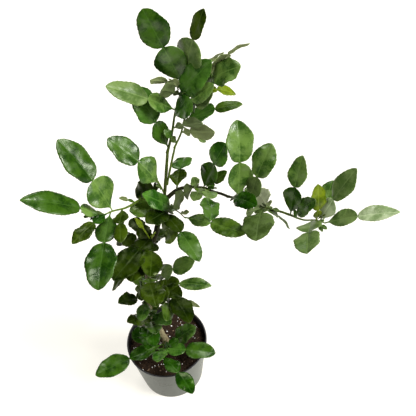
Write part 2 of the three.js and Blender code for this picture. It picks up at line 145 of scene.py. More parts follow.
# Shoots: one stem each. A leaf has a wing, then a narrow joint, then a blade:
# (along the stem, its tip in the photo, length, share of the wing, blade width, wing width,
# turn of its face from the viewer, colour of the wing, colour of the blade).
# The tips of "behind" leaves reach away from the viewer.
shoots = {
    "crownLeftFoliage": {
        "from": "leader", "diameters": (4.3, 2), "age": (0.75, 1), "seed": 11,
        "path": [(63, 36, 652), (72, 45, 687), (85, 50, 724), (91, 51, 742)],
        "leaves": [
            (0.9, (142, 8), 121, 0.53, 41, 45, -12, "mature", "deep"),
            # The next leaf's pale wing is a painted highlight on its green.
            (1, (204, 8), 104, 0.57, 22, 47, -35, "pale", "olive"),
            (0.85, (150, 80), 60, 0.5, 18, 20, 130, "brown", "brown"),
            (0.75, (161, 90), 50, 0.25, 24, 10, 155, "dark", "dull"),
            (0.55, (105, 86), 112, 0.45, 33, 30, 30, "fresh", "pale"),
            (0.05, (135, 87), 108, 0.46, 42, 30, 25, "deep", "bright"),
            (0.46, (214, 84), 97, 0.56, 25, 34, -25, "bright", "fresh"),
            (0.97, (188, 65), 18, 0.5, 10, 8, 10, "young", "young"),
            (0.32, (203, 123), 68, 0.3, 18, 12, -150, "pale", "pale"),
            (0.71, (212, 60), 88, 0.15, 39, 8, -25, "bright", "bright"),
        ],
        "behind": [
            (0.93, (224, 52), 80, 0.45, 18, 14, -70, "young", "brown"),
        ],
    },
    "crownRightFoliage": {
        "from": "secondUpright", "diameters": (3, 1.8), "age": (0.9, 1), "seed": 23,
        "path": [(77, 34, 656), (86, 39, 684), (100, 43, 710), (117, 43, 736)],
        "leaves": [
            (0.05, (164, 130), 32, 0.5, 13, 10, 25, "dull", "mature"),
            (1, (250, 43), 100, 0.6, 16, 26, -115, "brown", "brown"),
            (0.95, (241, 66), 75, 0.35, 36, 26, -28, "fresh", "fresh"),
            (0.8, (222, 63), 52, 0.35, 24, 16, 20, "bright", "bright"),
            (0.55, (213, 93), 62, 0.4, 27, 22, -20, "bright", "pale"),
            (0.37, (243, 104), 92, 0.57, 22, 38, -50, "bright", "moss"),
            (0.22, (215, 132), 64, 0.25, 26, 14, -155, "brown", "brown"),
        ],
        "behind": [
            (0.85, (236, 94), 62, 0.45, 18, 16, -40, "young", "young"),
            (0.3, (206, 142), 46, 0.6, 11, 5, -30, "pale", "pale"),
        ],
    },
    "forkFoliage": {
        "from": "leader", "along": 0.12, "age": (0.8, 1), "seed": 31,
        "path": [(37, 6, 584), (34, 6, 594)],
        "leaves": [
            (0.6, (107, 138), 112, 0.49, 38, 42, 25, "fresh", "mature"),
            (0.15, (157, 184), 14, 0.4, 7, 5, 0, "dull", "dull"),
        ],
        "behind": [
            (0.4, (135, 192), 55, 0.25, 30, 16, 15, "dark", "dark"),
        ],
    },
    "spurFoliage": {
        "from": "rightBoughInner", "along": 0.55, "diameters": (2.4, 1.8), "age": (0.6, 0.8), "seed": 41,
        "path": [(62, 7, 571), (63, 6, 578)],
        "behind": [
            (0.12, (184, 157), 80, 0.53, 36, 27, -25, "olive", "bright"),
        ],
    },
    "rightInnerFoliage": {
        "from": "rightBoughInner", "diameters": (5, 4.5), "age": (0.45, 0.5), "seed": 43,
        "path": [(93, 11, 564), (104, 9, 563), (115, 5, 559)],
        "leaves": [
            (0.6, (226, 143), 96, 0.58, 34, 34, -28, "deep", "bright"),
            (0.77, (227, 171), 48, 0.4, 17, 14, -25, "deep", "moss"),
            (0.3, (193, 177), 25, 0.3, 15, 10, 10, "dull", "pale"),
            (0.65, (211, 221), 85, 0.4, 29, 30, -25, "pale", "mature"),
            (0.53, (194, 201), 50, 0.4, 20, 16, 25, "moss", "dull"),
            (0.15, (173, 206), 62, 0.42, 29, 26, 135, "dark", "dark"),
        ],
    },
    "rightMiddleFoliage": {
        "from": "rightBoughMiddle", "diameters": (4, 3.6), "age": (0.55, 0.65), "seed": 47,
        "path": [(157, -6, 548), (182, -14, 539), (205, -19, 532)],
        "leaves": [
            (0.2, (237, 119), 126, 0.49, 45, 41, 25, "fresh", "fresh"),
            (0.5, (272, 143), 108, 0.47, 39, 28, -25, "dull", "fresh"),
            (0.07, (257, 206), 62, 0.2, 30, 17, -25, "dark", "shade"),
            (0.87, (246, 213), 60, 0.5, 17, 15, 155, "dull", "dull"),
            (0.82, (256, 241), 92, 0.28, 48, 22, 20, "dull", "dull"),
        ],
        "behind": [
            (0.93, (256, 191), 62, 0.3, 34, 22, 155, "brown", "silver"),
            (0.78, (290, 229), 60, 0.5, 16, 30, -75, "dull", "dull"),
        ],
    },
    "rightOuterFoliage": {
        "from": "rightBoughOuter", "diameters": (3.5, 2), "seed": 53,
        "path": [(253, -32, 517), (272, -32, 514), (286, -36, 510)],
        "leaves": [
            (0.05, (303, 155), 102, 0.49, 30, 34, -25, "deep", "fresh"),
            (0.13, (316, 200), 60, 0.25, 28, 16, -25, "fresh", "mature"),
            (0.75, (318, 184), 75, 0.35, 25, 14, 25, "young", "young"),
            # The next two leaves are pale and whitish: painted light against the shade of the leaves above.
            (0.85, (357, 168), 112, 0.44, 32, 28, -25, "silver", "pale"),
            (1, (401, 212), 125, 0.5, 25, 30, -28, "pale", "silver"),
            (0.65, (307, 254), 95, 0.48, 40, 40, 25, "pale", "pale"),
        ],
        "behind": [
            (0.95, (333, 180), 75, 0.4, 31, 18, -25, "silver", "fresh"),
        ],
    },
    "leftFoliage": {
        "from": "leftBough", "diameters": (4, 2.2), "age": (0.95, 1), "seed": 59,
        "path": [(-14, -27, 573), (-34, -29, 570), (-49, -33, 567)],
        "leaves": [
            (0.75, (57, 139), 138, 0.44, 45, 54, 28, "fresh", "deep"),
            (1, (19, 200), 132, 0.33, 38, 21, 35, "fresh", "deep"),
            (0.8, (98, 291), 124, 0.43, 48, 36, 25, "mature", "deep"),
            (0.9, (72, 244), 80, 0.4, 24, 18, 28, "shade", "olive"),
            (0.5, (121, 243), 66, 0.5, 22, 24, 25, "olive", "olive"),
            (0.95, (81, 212), 38, 0.5, 10, 8, 45, "dull", "young"),
            (0.15, (119, 198), 28, 0.5, 8, 6, 35, "moss", "brown"),
        ],
    },
    "droopingFoliage": {
        "along": 0.96, "diameters": (2.4, 1.6), "age": (0.4, 0.5), "seed": 61,
        "path": [(61, -16, 542), (71, -25, 536)],
        "leaves": [
            (0.55, (142, 194), 72, 0.22, 29, 13, 25, "dull", "bright"),
            (0.32, (129, 211), 68, 0.28, 33, 20, 25, "moss", "moss"),
            (0.41, (146, 223), 62, 0.28, 31, 20, 25, "olive", "dark"),
            (0.96, (246, 234), 102, 0.45, 31, 24, -25, "fresh", "moss"),
            (0.75, (189, 212), 22, 0.4, 8, 7, -25, "brown", "brown"),
        ],
    },
    "upperLeftFoliage": {
        "along": 0.68, "seed": 67, "path": [(3, -11, 436), (6, -12, 456), (13, -10, 480)],
        "leaves": [
            (0.98, (113, 281), 112, 0.34, 44, 34, 25, "dark", "dark"),
            (0.84, (135, 218), 56, 0.6, 9, 3, 15, "lime", "lime"),
            (0.64, (131, 282), 88, 0.4, 38, 32, 25, "dark", "olive"),
            (0.92, (150, 277), 84, 0.4, 38, 24, -20, "dark", "olive"),
            (0.7, (139, 225), 45, 0.35, 26, 18, 15, "dark", "olive"),
        ],
        "behind": [
            (0.88, (130, 219), 52, 0.4, 26, 22, 25, "dark", "dark"),
            (0.77, (121, 240), 54, 0.45, 26, 22, 25, "olive", "olive"),
            (0.54, (112, 291), 105, 0.5, 20, 22, 45, "dark", "olive"),
        ],
    },
    "upperRightFoliage": {
        "along": 0.84, "diameters": (2.6, 1.6), "seed": 71, "path": [(32, -8, 514), (37, -11, 542)],
        "leaves": [
            (0.95, (200, 262), 112, 0.5, 31, 28, -25, "dark", "mature"),
        ],
        "behind": [
            (0.75, (172, 243), 55, 0.45, 26, 20, -25, "olive", "olive"),
        ],
    },
    "middleRightFoliage": {
        "along": 0.45, "seed": 73, "path": [(-3, -9, 333), (5, -8, 351), (12, -6, 367)],
        "leaves": [
            (0.96, (195, 261), 84, 0.45, 31, 28, -25, "pale", "fresh"),
            (0.52, (212, 286), 112, 0.46, 27, 30, -37, "olive", "fresh"),
            (0.75, (165, 303), 62, 0.4, 32, 26, 25, "olive", "olive"),
            (0.63, (182, 297), 62, 0.4, 30, 24, -20, "olive", "dark"),
        ],
    },
    "middleLeftFoliage": {
        "along": 0.4, "seed": 79, "path": [(-17, -13, 318), (-14, -17, 350), (-4, -17, 386)],
        "leaves": [
            (0.77, (130, 279), 42, 0.35, 22, 15, 25, "mature", "moss"),
            (0.93, (156, 307), 82, 0.25, 42, 28, -10, "moss", "olive"),
            (0.22, (118, 303), 72, 0.42, 26, 18, 25, "olive", "dark"),
            (0.36, (135, 289), 42, 0.3, 19, 11, 25, "olive", "olive"),
            (0.12, (141, 321), 58, 0.3, 26, 16, 25, "olive", "mature"),
        ],
    },
    "lowRightFoliage": {
        "along": 0.3, "seed": 83, "path": [(-6, -13, 264), (9, -14, 286), (27, -10, 318)],
        "leaves": [
            (0.96, (190, 323), 84, 0.22, 39, 24, -25, "dark", "dark"),
            (0.86, (166, 321), 70, 0.35, 26, 20, -25, "dark", "moss"),
            (0.7, (200, 307), 76, 0.45, 16, 12, -50, "brown", "brown"),
        ],
    },
    "lowLeftFoliage": {
        "along": 0.19, "seed": 89, "path": [(-18, -14, 215), (-21, -15, 240), (-21, -14, 262)],
        "leaves": [
            (0.88, (138, 326), 66, 0.35, 31, 22, 25, "moss", "olive"),
            (0.8, (127, 322), 55, 0.4, 22, 15, 25, "olive", "olive"),
            (0.69, (156, 334), 60, 0.3, 31, 20, -20, "mature", "mature"),
            (0.97, (171, 324), 66, 0.3, 30, 21, -25, "fresh", "bright"),
            (0.55, (146, 338), 60, 0.35, 28, 20, 25, "shade", "shade"),
            (0.62, (154, 347), 66, 0.35, 28, 20, -20, "shade", "shade"),
        ],
    },
    "footLeftFoliage": {
        "along": 0.07, "diameters": (2.6, 1.6), "seed": 97, "path": [(-18, -4, 153), (-25, -6, 168)],
        "leaves": [
            (0.63, (132, 338), 76, 0.36, 40, 28, 25, "shade", "shade"),
            (0.84, (146, 349), 54, 0.35, 31, 22, 5, "shade", "shade"),
        ],
    },
    "footFrontFoliage": {
        "along": 0.05, "diameters": (3, 1.8), "seed": 101, "path": [(-6, -22, 142), (-9, -46, 148)],
        "leaves": [
            (0.17, (94, 376), 150, 0.51, 43, 31, 25, "deep", "deep"),
            (0.47, (157, 362), 66, 0.25, 29, 20, 25, "bright", "bright"),
            (0.66, (216, 353), 112, 0.46, 38, 30, -28, "bright", "deep"),
            (0.97, (193, 394), 110, 0.53, 34, 31, -27, "shade", "shade"),
            (0.38, (179, 341), 42, 0.4, 20, 15, -27, "shade", "shade"),
        ],
    },
    "footRightFoliage": {
        "along": 0.02, "diameters": (2.4, 1.6), "seed": 103, "path": [(6, -9, 126), (11, -13, 138)],
        "leaves": [
            (0.78, (196, 327), 74, 0.25, 37, 20, -22, "shade", "mature"),
        ],
    },
    "backUpperFoliage": {
        "along": 0.58, "seed": 107, "path": [(-8, 14, 388), (-10, 20, 404), (-9, 24, 420)],
        "spiral": {"count": 4, "heading": 100, "spread": 45, "climb": -30, "length": 82},
    },
    "backMiddleFoliage": {
        "along": 0.36, "seed": 109, "path": [(-22, 12, 290), (-25, 18, 306), (-24, 22, 322)],
        "spiral": {"count": 4, "heading": 74, "spread": 28, "climb": -30, "length": 78},
    },
    "backLowFoliage": {
        "along": 0.16, "seed": 113, "path": [(-20, 12, 198), (-24, 18, 212), (-24, 22, 226)],
        "spiral": {"count": 3, "heading": 78, "spread": 34, "climb": -12, "length": 66},
    },
}
# What a shoot has where its row says nothing else.
plainShoot = {"from": "trunk", "diameters": (2.8, 1.6), "age": (0.7, 1)}
shoots = {name: {**plainShoot, **size} for name, size in shoots.items()}
grown = {}


# Half the limb's width: an even taper, and at the foot a flare that dies away with the distance.
def radiusAt(size, share, length):
    taper = lerp(size["diameters"][0], size["diameters"][1], share) / 2
    flare = size.get("flare", 0) * np.exp(-share * length / size.get("flareLength", 1))
    return taper * (1 + flare)


# Where a limb or shoot starts: at its parent's end, or on its parent's side towards its own path.
def grow(name, size):
    points = [np.array(point, float) for point in size["path"]]
    if "from" in size:
        parent = grown[size["from"]]
        if "along" in size:
            base = parent["path"].at(size["along"])
            axis = parent["path"].direction(size["along"])
            toward = points[0] - base
            outward = unitVector(toward - axis * (toward @ axis))
            radius = radiusAt(parent["size"], size["along"], parent["path"].length)
            points.insert(0, base + outward * (radius + clearance))
        else:
            points.insert(0, parent["path"].at(1.0) + parent["path"].direction(1.0) * clearance)
    grown[name] = {"path": Path(points), "size": size}


# Quads of a grid of rows by columns; a wrapped grid joins its last column to its first.
def gridQuads(rows, columns, wrap=False):
    across = columns if wrap else columns - 1
    r, c = np.meshgrid(np.arange(rows - 1), np.arange(across), indexing="ij")
    here, after = r * columns, (r + 1) * columns
    following = (c + 1) % columns
    return np.stack([here + c, here + following, after + following, after + c], -1).reshape(-1, 4)


# A sum of plane waves with seeded directions and phases, from -1 to 1 or so: smooth relief.
def waves(points, wavelength, count, seed):
    rng = np.random.default_rng(seed)
    turn = rng.normal(size=(count, points.shape[-1]))
    turn /= np.linalg.norm(turn, axis=1)[:, None]
    turn *= 2 * np.pi / (wavelength * rng.uniform(0.7, 1.4, count))[:, None]
    return np.sin(points @ turn.T + rng.uniform(0, 2 * np.pi, count)).sum(-1) / math.sqrt(count / 2) / 1.5


# One mesh from many grids: each grid brings its points, quads, material numbers and point values.
def joinedMesh(name, parts, materials, valueName=None):
    offset = np.cumsum([0] + [len(part["points"]) for part in parts[:-1]])
    points = np.concatenate([part["points"] for part in parts]) * mm
    quads = np.concatenate([part["quads"] + o for part, o in zip(parts, offset)])
    mesh = bpy.data.meshes.new(name)
    mesh.vertices.add(len(points))
    mesh.vertices.foreach_set("co", points.astype(np.float32).ravel())
    mesh.loops.add(quads.size)
    mesh.loops.foreach_set("vertex_index", quads.astype(np.int32).ravel())
    mesh.polygons.add(len(quads))
    mesh.polygons.foreach_set("loop_start", np.arange(0, quads.size, 4, dtype=np.int32))
    mesh.polygons.foreach_set("loop_total", np.full(len(quads), 4, np.int32))
    mesh.polygons.foreach_set("use_smooth", np.ones(len(quads), bool))
    if "kind" in parts[0]:
        kinds = np.concatenate([part["kind"] for part in parts]).astype(np.int32)
        mesh.polygons.foreach_set("material_index", kinds)
    if "uv" in parts[0]:
        uv = np.concatenate([part["uv"] for part in parts])[quads.ravel()]
        mesh.uv_layers.new(name="surface").data.foreach_set("uv", uv.astype(np.float32).ravel())
    if valueName:
        value = np.concatenate([part["value"] for part in parts])
        mesh.attributes.new(valueName, "FLOAT", "POINT").data.foreach_set("value", value.astype(np.float32))
    for material in materials:
        mesh.materials.append(material)
    mesh.update(calc_edges=True)
    mesh.validate(clean_customdata=False)
    piece = bpy.data.objects.new(name, mesh)
    bpy.context.scene.collection.objects.link(piece)
    return piece


noiseSpan = (0.3, 0.7)  # nearly all of a noise lies between these


# A material in the making. Most methods add a node, feed it and give back what it puts out; put feeds
# the shader itself, and bump feeds its normal.
class Finish:
    def __init__(self, name):
        self.material = bpy.data.materials.new(name)
        self.material.use_nodes = True
        tree = self.material.node_tree
        self.nodes, self.links, self.shader = tree.nodes, tree.links, tree.nodes["Principled BSDF"]
        coordinates = self.nodes.new("ShaderNodeTexCoord")
        self.place, self.map = coordinates.outputs["Object"], coordinates.outputs["UV"]

    # A number or a colour is set on the socket itself; another node's output is linked to it.
    def feed(self, socket, value):
        if isinstance(value, (int, float)):
            socket.default_value = value
        elif isinstance(value, tuple):
            socket.default_value = (*value, 1)
        else:
            self.links.new(value, socket)

    def put(self, values):
        for name, value in values.items():
            self.feed(self.shader.inputs[name], value)

    def node(self, kind, inputs):
        node = self.nodes.new(f"ShaderNode{kind}")
        for name, value in inputs.items():
            self.feed(node.inputs[name], value)
        return node

    def noise(self, source, scale, detail=3.0, roughness=0.55):
        inputs = {"Vector": source, "Scale": scale, "Detail": detail, "Roughness": roughness}
        return self.node("TexNoise", inputs).outputs["Fac"]

    def ramp(self, source, stops):
        node = self.node("ValToRGB", {"Fac": source})
        elements = node.color_ramp.elements
        while len(elements) < len(stops):
            elements.new(0.5)
        for element, (place, colour) in zip(elements, stops):
            element.position = place
            element.color = (*colour, 1)
        return node.outputs["Color"]

    def remap(self, source, *limits):
        names = ("Value", "From Min", "From Max", "To Min", "To Max")
        return self.node("MapRange", dict(zip(names, (source, *limits)))).outputs["Result"]

    def maths(self, operation, *values):
        node = self.nodes.new("ShaderNodeMath")
        node.operation = operation
        for socket, value in zip(node.inputs, values):
            self.feed(socket, value)
        return node.outputs["Value"]

    def mix(self, factor, first, second):
        node = self.nodes.new("ShaderNodeMix")
        node.data_type = "RGBA"
        colours = [socket for socket in node.inputs if socket.type == "RGBA"]
        for socket, value in zip((node.inputs["Factor"], *colours), (factor, first, second)):
            self.feed(socket, value)
        return [socket for socket in node.outputs if socket.type == "RGBA"][0]

    def bump(self, height, strength, distance):
        node = self.node("Bump", {"Height": height, "Strength": strength, "Distance": distance})
        self.put({"Normal": node.outputs["Normal"]})


# One grain of noise sets the colour from dark to light, the roughness and the bump.
def mottledMaterial(name, dark, light, scale, roughness, bump, specular=0.5, stops=(0.32, 0.68)):
    finish = Finish(name)
    grain = finish.noise(finish.place, scale, 4.0, 0.6)
    finish.put({
        "Base Color": finish.ramp(grain, list(zip(stops, (dark, light)))),
        "Roughness": finish.remap(grain, *noiseSpan, *roughness),
        "Specular IOR Level": specular,
    })
    finish.bump(grain, *bump)
    return finish.material


# The photo is 416 pixels square: "focal" and "middle" are in its pixels.
photo = {"eye": (107, -626.4, 1230), "pitch": 48.3, "roll": 4.7, "focal": 600, "middle": 208, "sensor": 36}


# The photo's own directions: into it, to its right and down it.
def photoAxes():
    pitch, roll = math.radians(photo["pitch"]), math.radians(photo["roll"])
    forward = np.array([0, math.cos(pitch), -math.sin(pitch)])
    down = np.array([0, -math.sin(pitch), -math.cos(pitch)])
    level = np.array([1.0, 0, 0])
    right = math.cos(roll) * level + math.sin(roll) * down
    return forward, right, math.cos(roll) * down - math.sin(roll) * level


# Which way a leaf points for its tip to lie on the line of sight through its pixel: to the nearer
# or the farther crossing of that line with the sphere of the leaf's span, or else towards the line.
def towardTip(root, tip, span, behind):
    eye = np.array(photo["eye"], float)
    forward, right, lower = photoAxes()
    x, y = (np.array(tip) - photo["middle"]) / photo["focal"]
    sight = unitVector(forward + x * right + y * lower)
    nearest = eye + sight * ((root - eye) @ sight)
    spare = math.sqrt(max(0, span ** 2 - (nearest - root) @ (nearest - root)))
    return unitVector(nearest + sight * (spare if behind else -spare) - root)


# A leaf's own directions: forward along it, the way its face looks, which is to the viewer, or up
# where it grows by rule, turned about the leaf, and its side.
def leafAxes(root, leaf, span):
    if "tip" in leaf:
        forward = towardTip(root, leaf["tip"], span, leaf["behind"])
        toward = np.array(photo["eye"], float) - root
    else:
        forward = headingVector(leaf["heading"], leaf["climb"])
        toward = np.array([0, 0, 1.0])
    face = unitVector(toward - forward * (toward @ forward))
    face = turned(face, forward, leaf["turn"])
    return forward, face, np.cross(forward, face)


# Colours of the leaves by kind: "dark" to "light" above, "under" below; "gloss" is the roughness from
# patch to patch, "sheen" how strongly a leaf shines and "tint" the colour of its shine. Some kinds
# stand in for light: the kinds named "dark" and "shade" are painted shade, the whitish kind is a painted
# highlight, and "lime" is painted lighter than its leaf.
leafKinds = {
    "mature": {
        "dark": (0.010, 0.036, 0.002), "light": (0.044, 0.098, 0.011), "under": (0.085, 0.12, 0.035),
        "gloss": (0.22, 0.38), "sheen": 0.42, "tint": (0.92, 1.0, 0.80),
    },
    "deep": {
        "dark": (0.007, 0.030, 0.001), "light": (0.028, 0.074, 0.004), "under": (0.075, 0.11, 0.035),
        "gloss": (0.20, 0.36), "sheen": 0.36, "tint": (0.90, 1.0, 0.75),
    },
    # Painted shade: a very dark copy of the leaf green for the leaves at the foot, under the crown.
    "shade": {
        "dark": (0.003, 0.020, 0.0003), "light": (0.013, 0.052, 0.001), "under": (0.055, 0.085, 0.025),
        "gloss": (0.20, 0.34), "sheen": 0.24, "tint": (0.80, 1.0, 0.45),
    },
    # Painted shade: a darker copy of the leaf green for leaves deep in the crown and at its back.
    "dark": {
        "dark": (0.003, 0.009, 0.0002), "light": (0.014, 0.028, 0.0006), "under": (0.040, 0.055, 0.018),
        "gloss": (0.24, 0.42), "sheen": 0.14, "tint": (0.80, 1.0, 0.35),
    },
    "olive": {
        "dark": (0.010, 0.022, 0.0005), "light": (0.032, 0.058, 0.002), "under": (0.060, 0.080, 0.028),
        "gloss": (0.24, 0.42), "sheen": 0.20, "tint": (0.85, 1.0, 0.45),
    },
    "moss": {
        "dark": (0.016, 0.040, 0.002), "light": (0.050, 0.096, 0.008), "under": (0.085, 0.115, 0.038),
        "gloss": (0.24, 0.40), "sheen": 0.28, "tint": (0.90, 1.0, 0.65),
    },
    "bright": {
        "dark": (0.012, 0.052, 0.003), "light": (0.050, 0.130, 0.013), "under": (0.11, 0.18, 0.04),
        "gloss": (0.22, 0.36), "sheen": 0.34, "tint": (0.85, 1.0, 0.60),
    },
    "fresh": {
        "dark": (0.026, 0.070, 0.007), "light": (0.096, 0.170, 0.030), "under": (0.13, 0.19, 0.06),
        "gloss": (0.22, 0.38), "sheen": 0.42, "tint": (0.95, 1.0, 0.85),
    },
    # A lime green, part the young leaf's own colour and part painted light: lighter than the leaf, against
    # the shade it lies in.
    "lime": {
        "dark": (0.20, 0.32, 0.010), "light": (0.40, 0.54, 0.030), "under": (0.36, 0.48, 0.05),
        "gloss": (0.28, 0.42), "sheen": 0.30, "tint": (0.90, 1.0, 0.60),
    },
    "young": {
        "dark": (0.055, 0.090, 0.002), "light": (0.130, 0.180, 0.006), "under": (0.12, 0.16, 0.02),
        "gloss": (0.28, 0.42), "sheen": 0.30, "tint": (0.90, 1.0, 0.60),
    },
    "pale": {
        "dark": (0.054, 0.100, 0.020), "light": (0.116, 0.176, 0.048), "under": (0.15, 0.20, 0.08),
        "gloss": (0.28, 0.44), "sheen": 0.20, "tint": (0.95, 1.0, 0.85),
    },
    # Painted highlight: a whitish green that stands in for the shine on pale leaves, made lighter still
    # against the shade of the leaves above.
    "silver": {
        "dark": (0.19, 0.27, 0.11), "light": (0.36, 0.44, 0.24), "under": (0.42, 0.47, 0.28),
        "gloss": (0.26, 0.42), "sheen": 0.45, "tint": (1.0, 1.0, 0.92),
    },
    "dull": {
        "dark": (0.028, 0.050, 0.008), "light": (0.068, 0.108, 0.026), "under": (0.085, 0.115, 0.042),
        "gloss": (0.40, 0.58), "sheen": 0.15, "tint": (0.90, 1.0, 0.65),
    },
    "brown": {
        "dark": (0.060, 0.080, 0.024), "light": (0.130, 0.155, 0.055), "under": (0.20, 0.245, 0.10),
        "gloss": (0.45, 0.62), "sheen": 0.20, "tint": (0.95, 1.0, 0.80),
    },
}
# The leaf's pattern. The veins are in millimetres, as the leaf's map is; other scales are for metres.
veins = {"spacing": 9.5, "slant": 0.6, "wander": 9.0, "wanderScale": 0.12, "crest": 0.8, "ribCore": 0.3}
topLook = {
    "patchScale": 45, "patchShare": 0.8, "fineScale": 420, "fineShare": 0.3, "stops": (0.46, 0.61),
    "ribWidth": 0.9, "veinShare": 0.22, "veinStrength": 0.45, "paleGain": 1.5, "paleLift": 0.012,
    "waxScale": 60, "waxSpan": (0.42, 0.62), "waxGain": (0.3, 1.5),
    "fineHeight": 0.6, "quiltHeight": -0.22, "bump": (0.24, 0.0009),
}
underLook = {
    "patchScale": 60, "shades": (0.75, 1.1), "ribWidth": 1.1, "veinShare": 0.4, "veinStrength": 0.5,
    "veinGain": 1.5, "gloss": (0.5, 0.66), "sheenShare": 0.5, "bump": (0.4, 0.0005),
}


# Midrib and side veins from the leaf's own map, which holds millimetres along and across the leaf:
# the midrib where the distance across is small, the veins where a slanting wave is near its crest.
# The wave itself comes back too, as the quilted height between the veins.
def veinMask(finish, look):
    split = finish.node("SeparateXYZ", {"Vector": finish.map})
    across = finish.maths("ABSOLUTE", split.outputs["Y"])
    rib = finish.remap(across, look["ribWidth"] * veins["ribCore"], look["ribWidth"], 1.0, 0.0)
    wander = finish.noise(finish.map, veins["wanderScale"], 2.0)
    slant = finish.maths("MULTIPLY_ADD", across, -veins["slant"], split.outputs["X"])
    slant = finish.maths("MULTIPLY_ADD", wander, veins["wander"], slant)
    wave = finish.maths("SINE", finish.maths("MULTIPLY", slant, 2 * math.pi / veins["spacing"]))
    vein = finish.remap(wave, veins["crest"], 1.0, 0.0, look["veinShare"])
    return finish.maths("MAXIMUM", rib, vein), wave


# The upper face of a leaf: mottled green with a paler midrib, shining where its wax is thick.
def leafTopMaterial(kind, colours):
    look = topLook
    finish = Finish(f"{kind}LeafTop")
    patches = finish.noise(finish.place, look["patchScale"], 2.0)
    fine = finish.noise(finish.place, look["fineScale"])
    coarse = finish.maths("MULTIPLY", patches, look["patchShare"])
    mottle = finish.maths("MULTIPLY_ADD", fine, look["fineShare"], coarse)
    base = finish.ramp(mottle, list(zip(look["stops"], (colours["dark"], colours["light"]))))
    lines, wave = veinMask(finish, look)
    pale = tuple(look["paleGain"] * value + look["paleLift"] for value in colours["light"])
    wax = finish.noise(finish.place, look["waxScale"], 1.0)
    sheen = [gain * colours["sheen"] for gain in look["waxGain"]]
    finish.put({
        "Base Color": finish.mix(finish.maths("MULTIPLY", lines, look["veinStrength"]), base, pale),
        "Roughness": finish.remap(patches, *noiseSpan, *colours["gloss"]),
        "Specular IOR Level": finish.remap(wax, *look["waxSpan"], *sheen),
        "Specular Tint": colours["tint"],
    })
    quilt = finish.maths("MULTIPLY", wave, look["quiltHeight"])
    finish.bump(finish.maths("MULTIPLY_ADD", fine, look["fineHeight"], quilt), *look["bump"])
    return finish.material


# The under face: paler and duller, with the midrib and veins standing out.
def leafUnderMaterial(kind, colours):
    look = underLook
    finish = Finish(f"{kind}LeafUnder")
    patches = finish.noise(finish.place, look["patchScale"])
    dark, light, pale = (
        tuple(shade * value for value in colours["under"]) for shade in (*look["shades"], look["veinGain"]))
    base = finish.ramp(patches, list(zip(noiseSpan, (dark, light))))
    lines = veinMask(finish, look)[0]
    finish.put({
        "Base Color": finish.mix(finish.maths("MULTIPLY", lines, look["veinStrength"]), base, pale),
        "Roughness": finish.remap(patches, *noiseSpan, *look["gloss"]),
        "Specular IOR Level": look["sheenShare"] * colours["sheen"],
        "Specular Tint": colours["tint"],
    })
    finish.bump(lines, *look["bump"])
    return finish.material


# A leaf's shape, in millimetres, degrees and shares of its length or width. "lobes", "margin" and
# "teeth" are its waves, which start anywhere in "phase", about a full turn, and "outOfStep" is how far
# lobes, teeth and margin differ from one half of the leaf to the other.
leafForm = {
    "stalkShare": 0.05, "jointWidth": 2.2, "stalkWidth": 2.0, "thickness": 0.5, "topShare": 0.4,
    "wingLean": 1.35, "wingSharpness": (0.85, 0.5), "bladeLean": 0.9, "bladeSharpness": 0.5,
    "slender": (1.2, 2.7), "tipSharpness": (0.5, 0.75), "steps": (57, 15), "youngSteps": (21, 7),
    "fold": (0.1, 0.3), "foldGain": 1.25, "arch": (0.05, 0.28), "bend": (17, 39), "sway": 0.012,
    "inset": 0.99, "broad": 12, "lobes": (2.2, 4.5), "uneven": 0.045, "toothSpacing": 6, "teeth": 0.35,
    "margin": 1.6, "marginWaves": (1.6, 3.2), "outOfStep": (2.4, 2, 1.3),
    "swell": 0.7, "swellLength": 22, "swellWaves": 9, "swellBroad": 10, "groove": (0.5, 1.3),
    "grooveBroad": 8, "rib": (0.5, 1.2), "phase": 6.3, "seed": 77,
}


# Half the leaf's width at each share of its length: a stalk, then a wing widest near its tip, a
# narrow joint, and an oval blade. A lobe is a sine, widest late where its lean is over 1, and to a
# power, its sharpness, which goes from one value at its foot to another at its tip; a slender blade
# has a sharper tip.
def halfWidths(share, leaf):
    form = leafForm
    onWing = share <= leaf["wingShare"]
    start = np.where(onWing, form["stalkShare"], leaf["wingShare"])
    end = np.where(onWing, leaf["wingShare"], 1)
    u = np.clip((share - start) / (end - start), 0, 1)
    wingLobe = np.abs(np.sin(np.pi * u ** form["wingLean"])) ** lerp(*form["wingSharpness"], u)
    slenderness = leaf["length"] * (1 - leaf["wingShare"]) / leaf["blade"]
    tipSharpness = np.interp(slenderness, form["slender"], form["tipSharpness"])
    sharpness = lerp(form["bladeSharpness"], tipSharpness, u)
    bladeLobe = np.abs(np.sin(np.pi * u ** form["bladeLean"])) ** sharpness
    narrowest = np.where(share <= form["stalkShare"], form["stalkWidth"], form["jointWidth"])
    narrowest = narrowest * leaf.get("fine", 1)
    return np.maximum(np.where(onWing, leaf["wing"] * wingLobe, leaf["blade"] * bladeLobe), narrowest) / 2


# A closed shell between an upper and an under grid: both faces and a strip round the four edges.
def closedShell(top, under, uv):
    rows, columns = top.shape[:2]
    count = rows * columns
    topQuads = gridQuads(rows, columns)[:, ::-1]
    underQuads = gridQuads(rows, columns) + count
    r = np.arange(rows - 1)
    c = np.arange(columns - 1)
    left = np.stack([r * columns, (r + 1) * columns, (r + 1) * columns + count, r * columns + count], -1)
    right = np.stack([r, r + 1, r + 1, r], -1) * columns + columns - 1 + np.array([0, 0, count, count])
    first = np.stack([c, c + 1, c + 1 + count, c + count], -1)
    last = first + (rows - 1) * columns
    quads = np.concatenate([topQuads, underQuads, left[:, ::-1], right, first, last[:, ::-1]])
    kind = np.concatenate([np.zeros(len(topQuads)), np.ones(len(quads) - len(topQuads))])
    flat = uv.reshape(-1, 2)
    points = np.concatenate([top.reshape(-1, 3), under.reshape(-1, 3)])
    return {"points": points, "quads": quads[:, ::-1], "kind": kind, "uv": np.concatenate([flat, flat])}


# A height that dies away on both sides of the midrib, as e to the minus square of the distance.
def bell(distance, height, width):
    return height * np.exp(-(distance / width) ** 2)


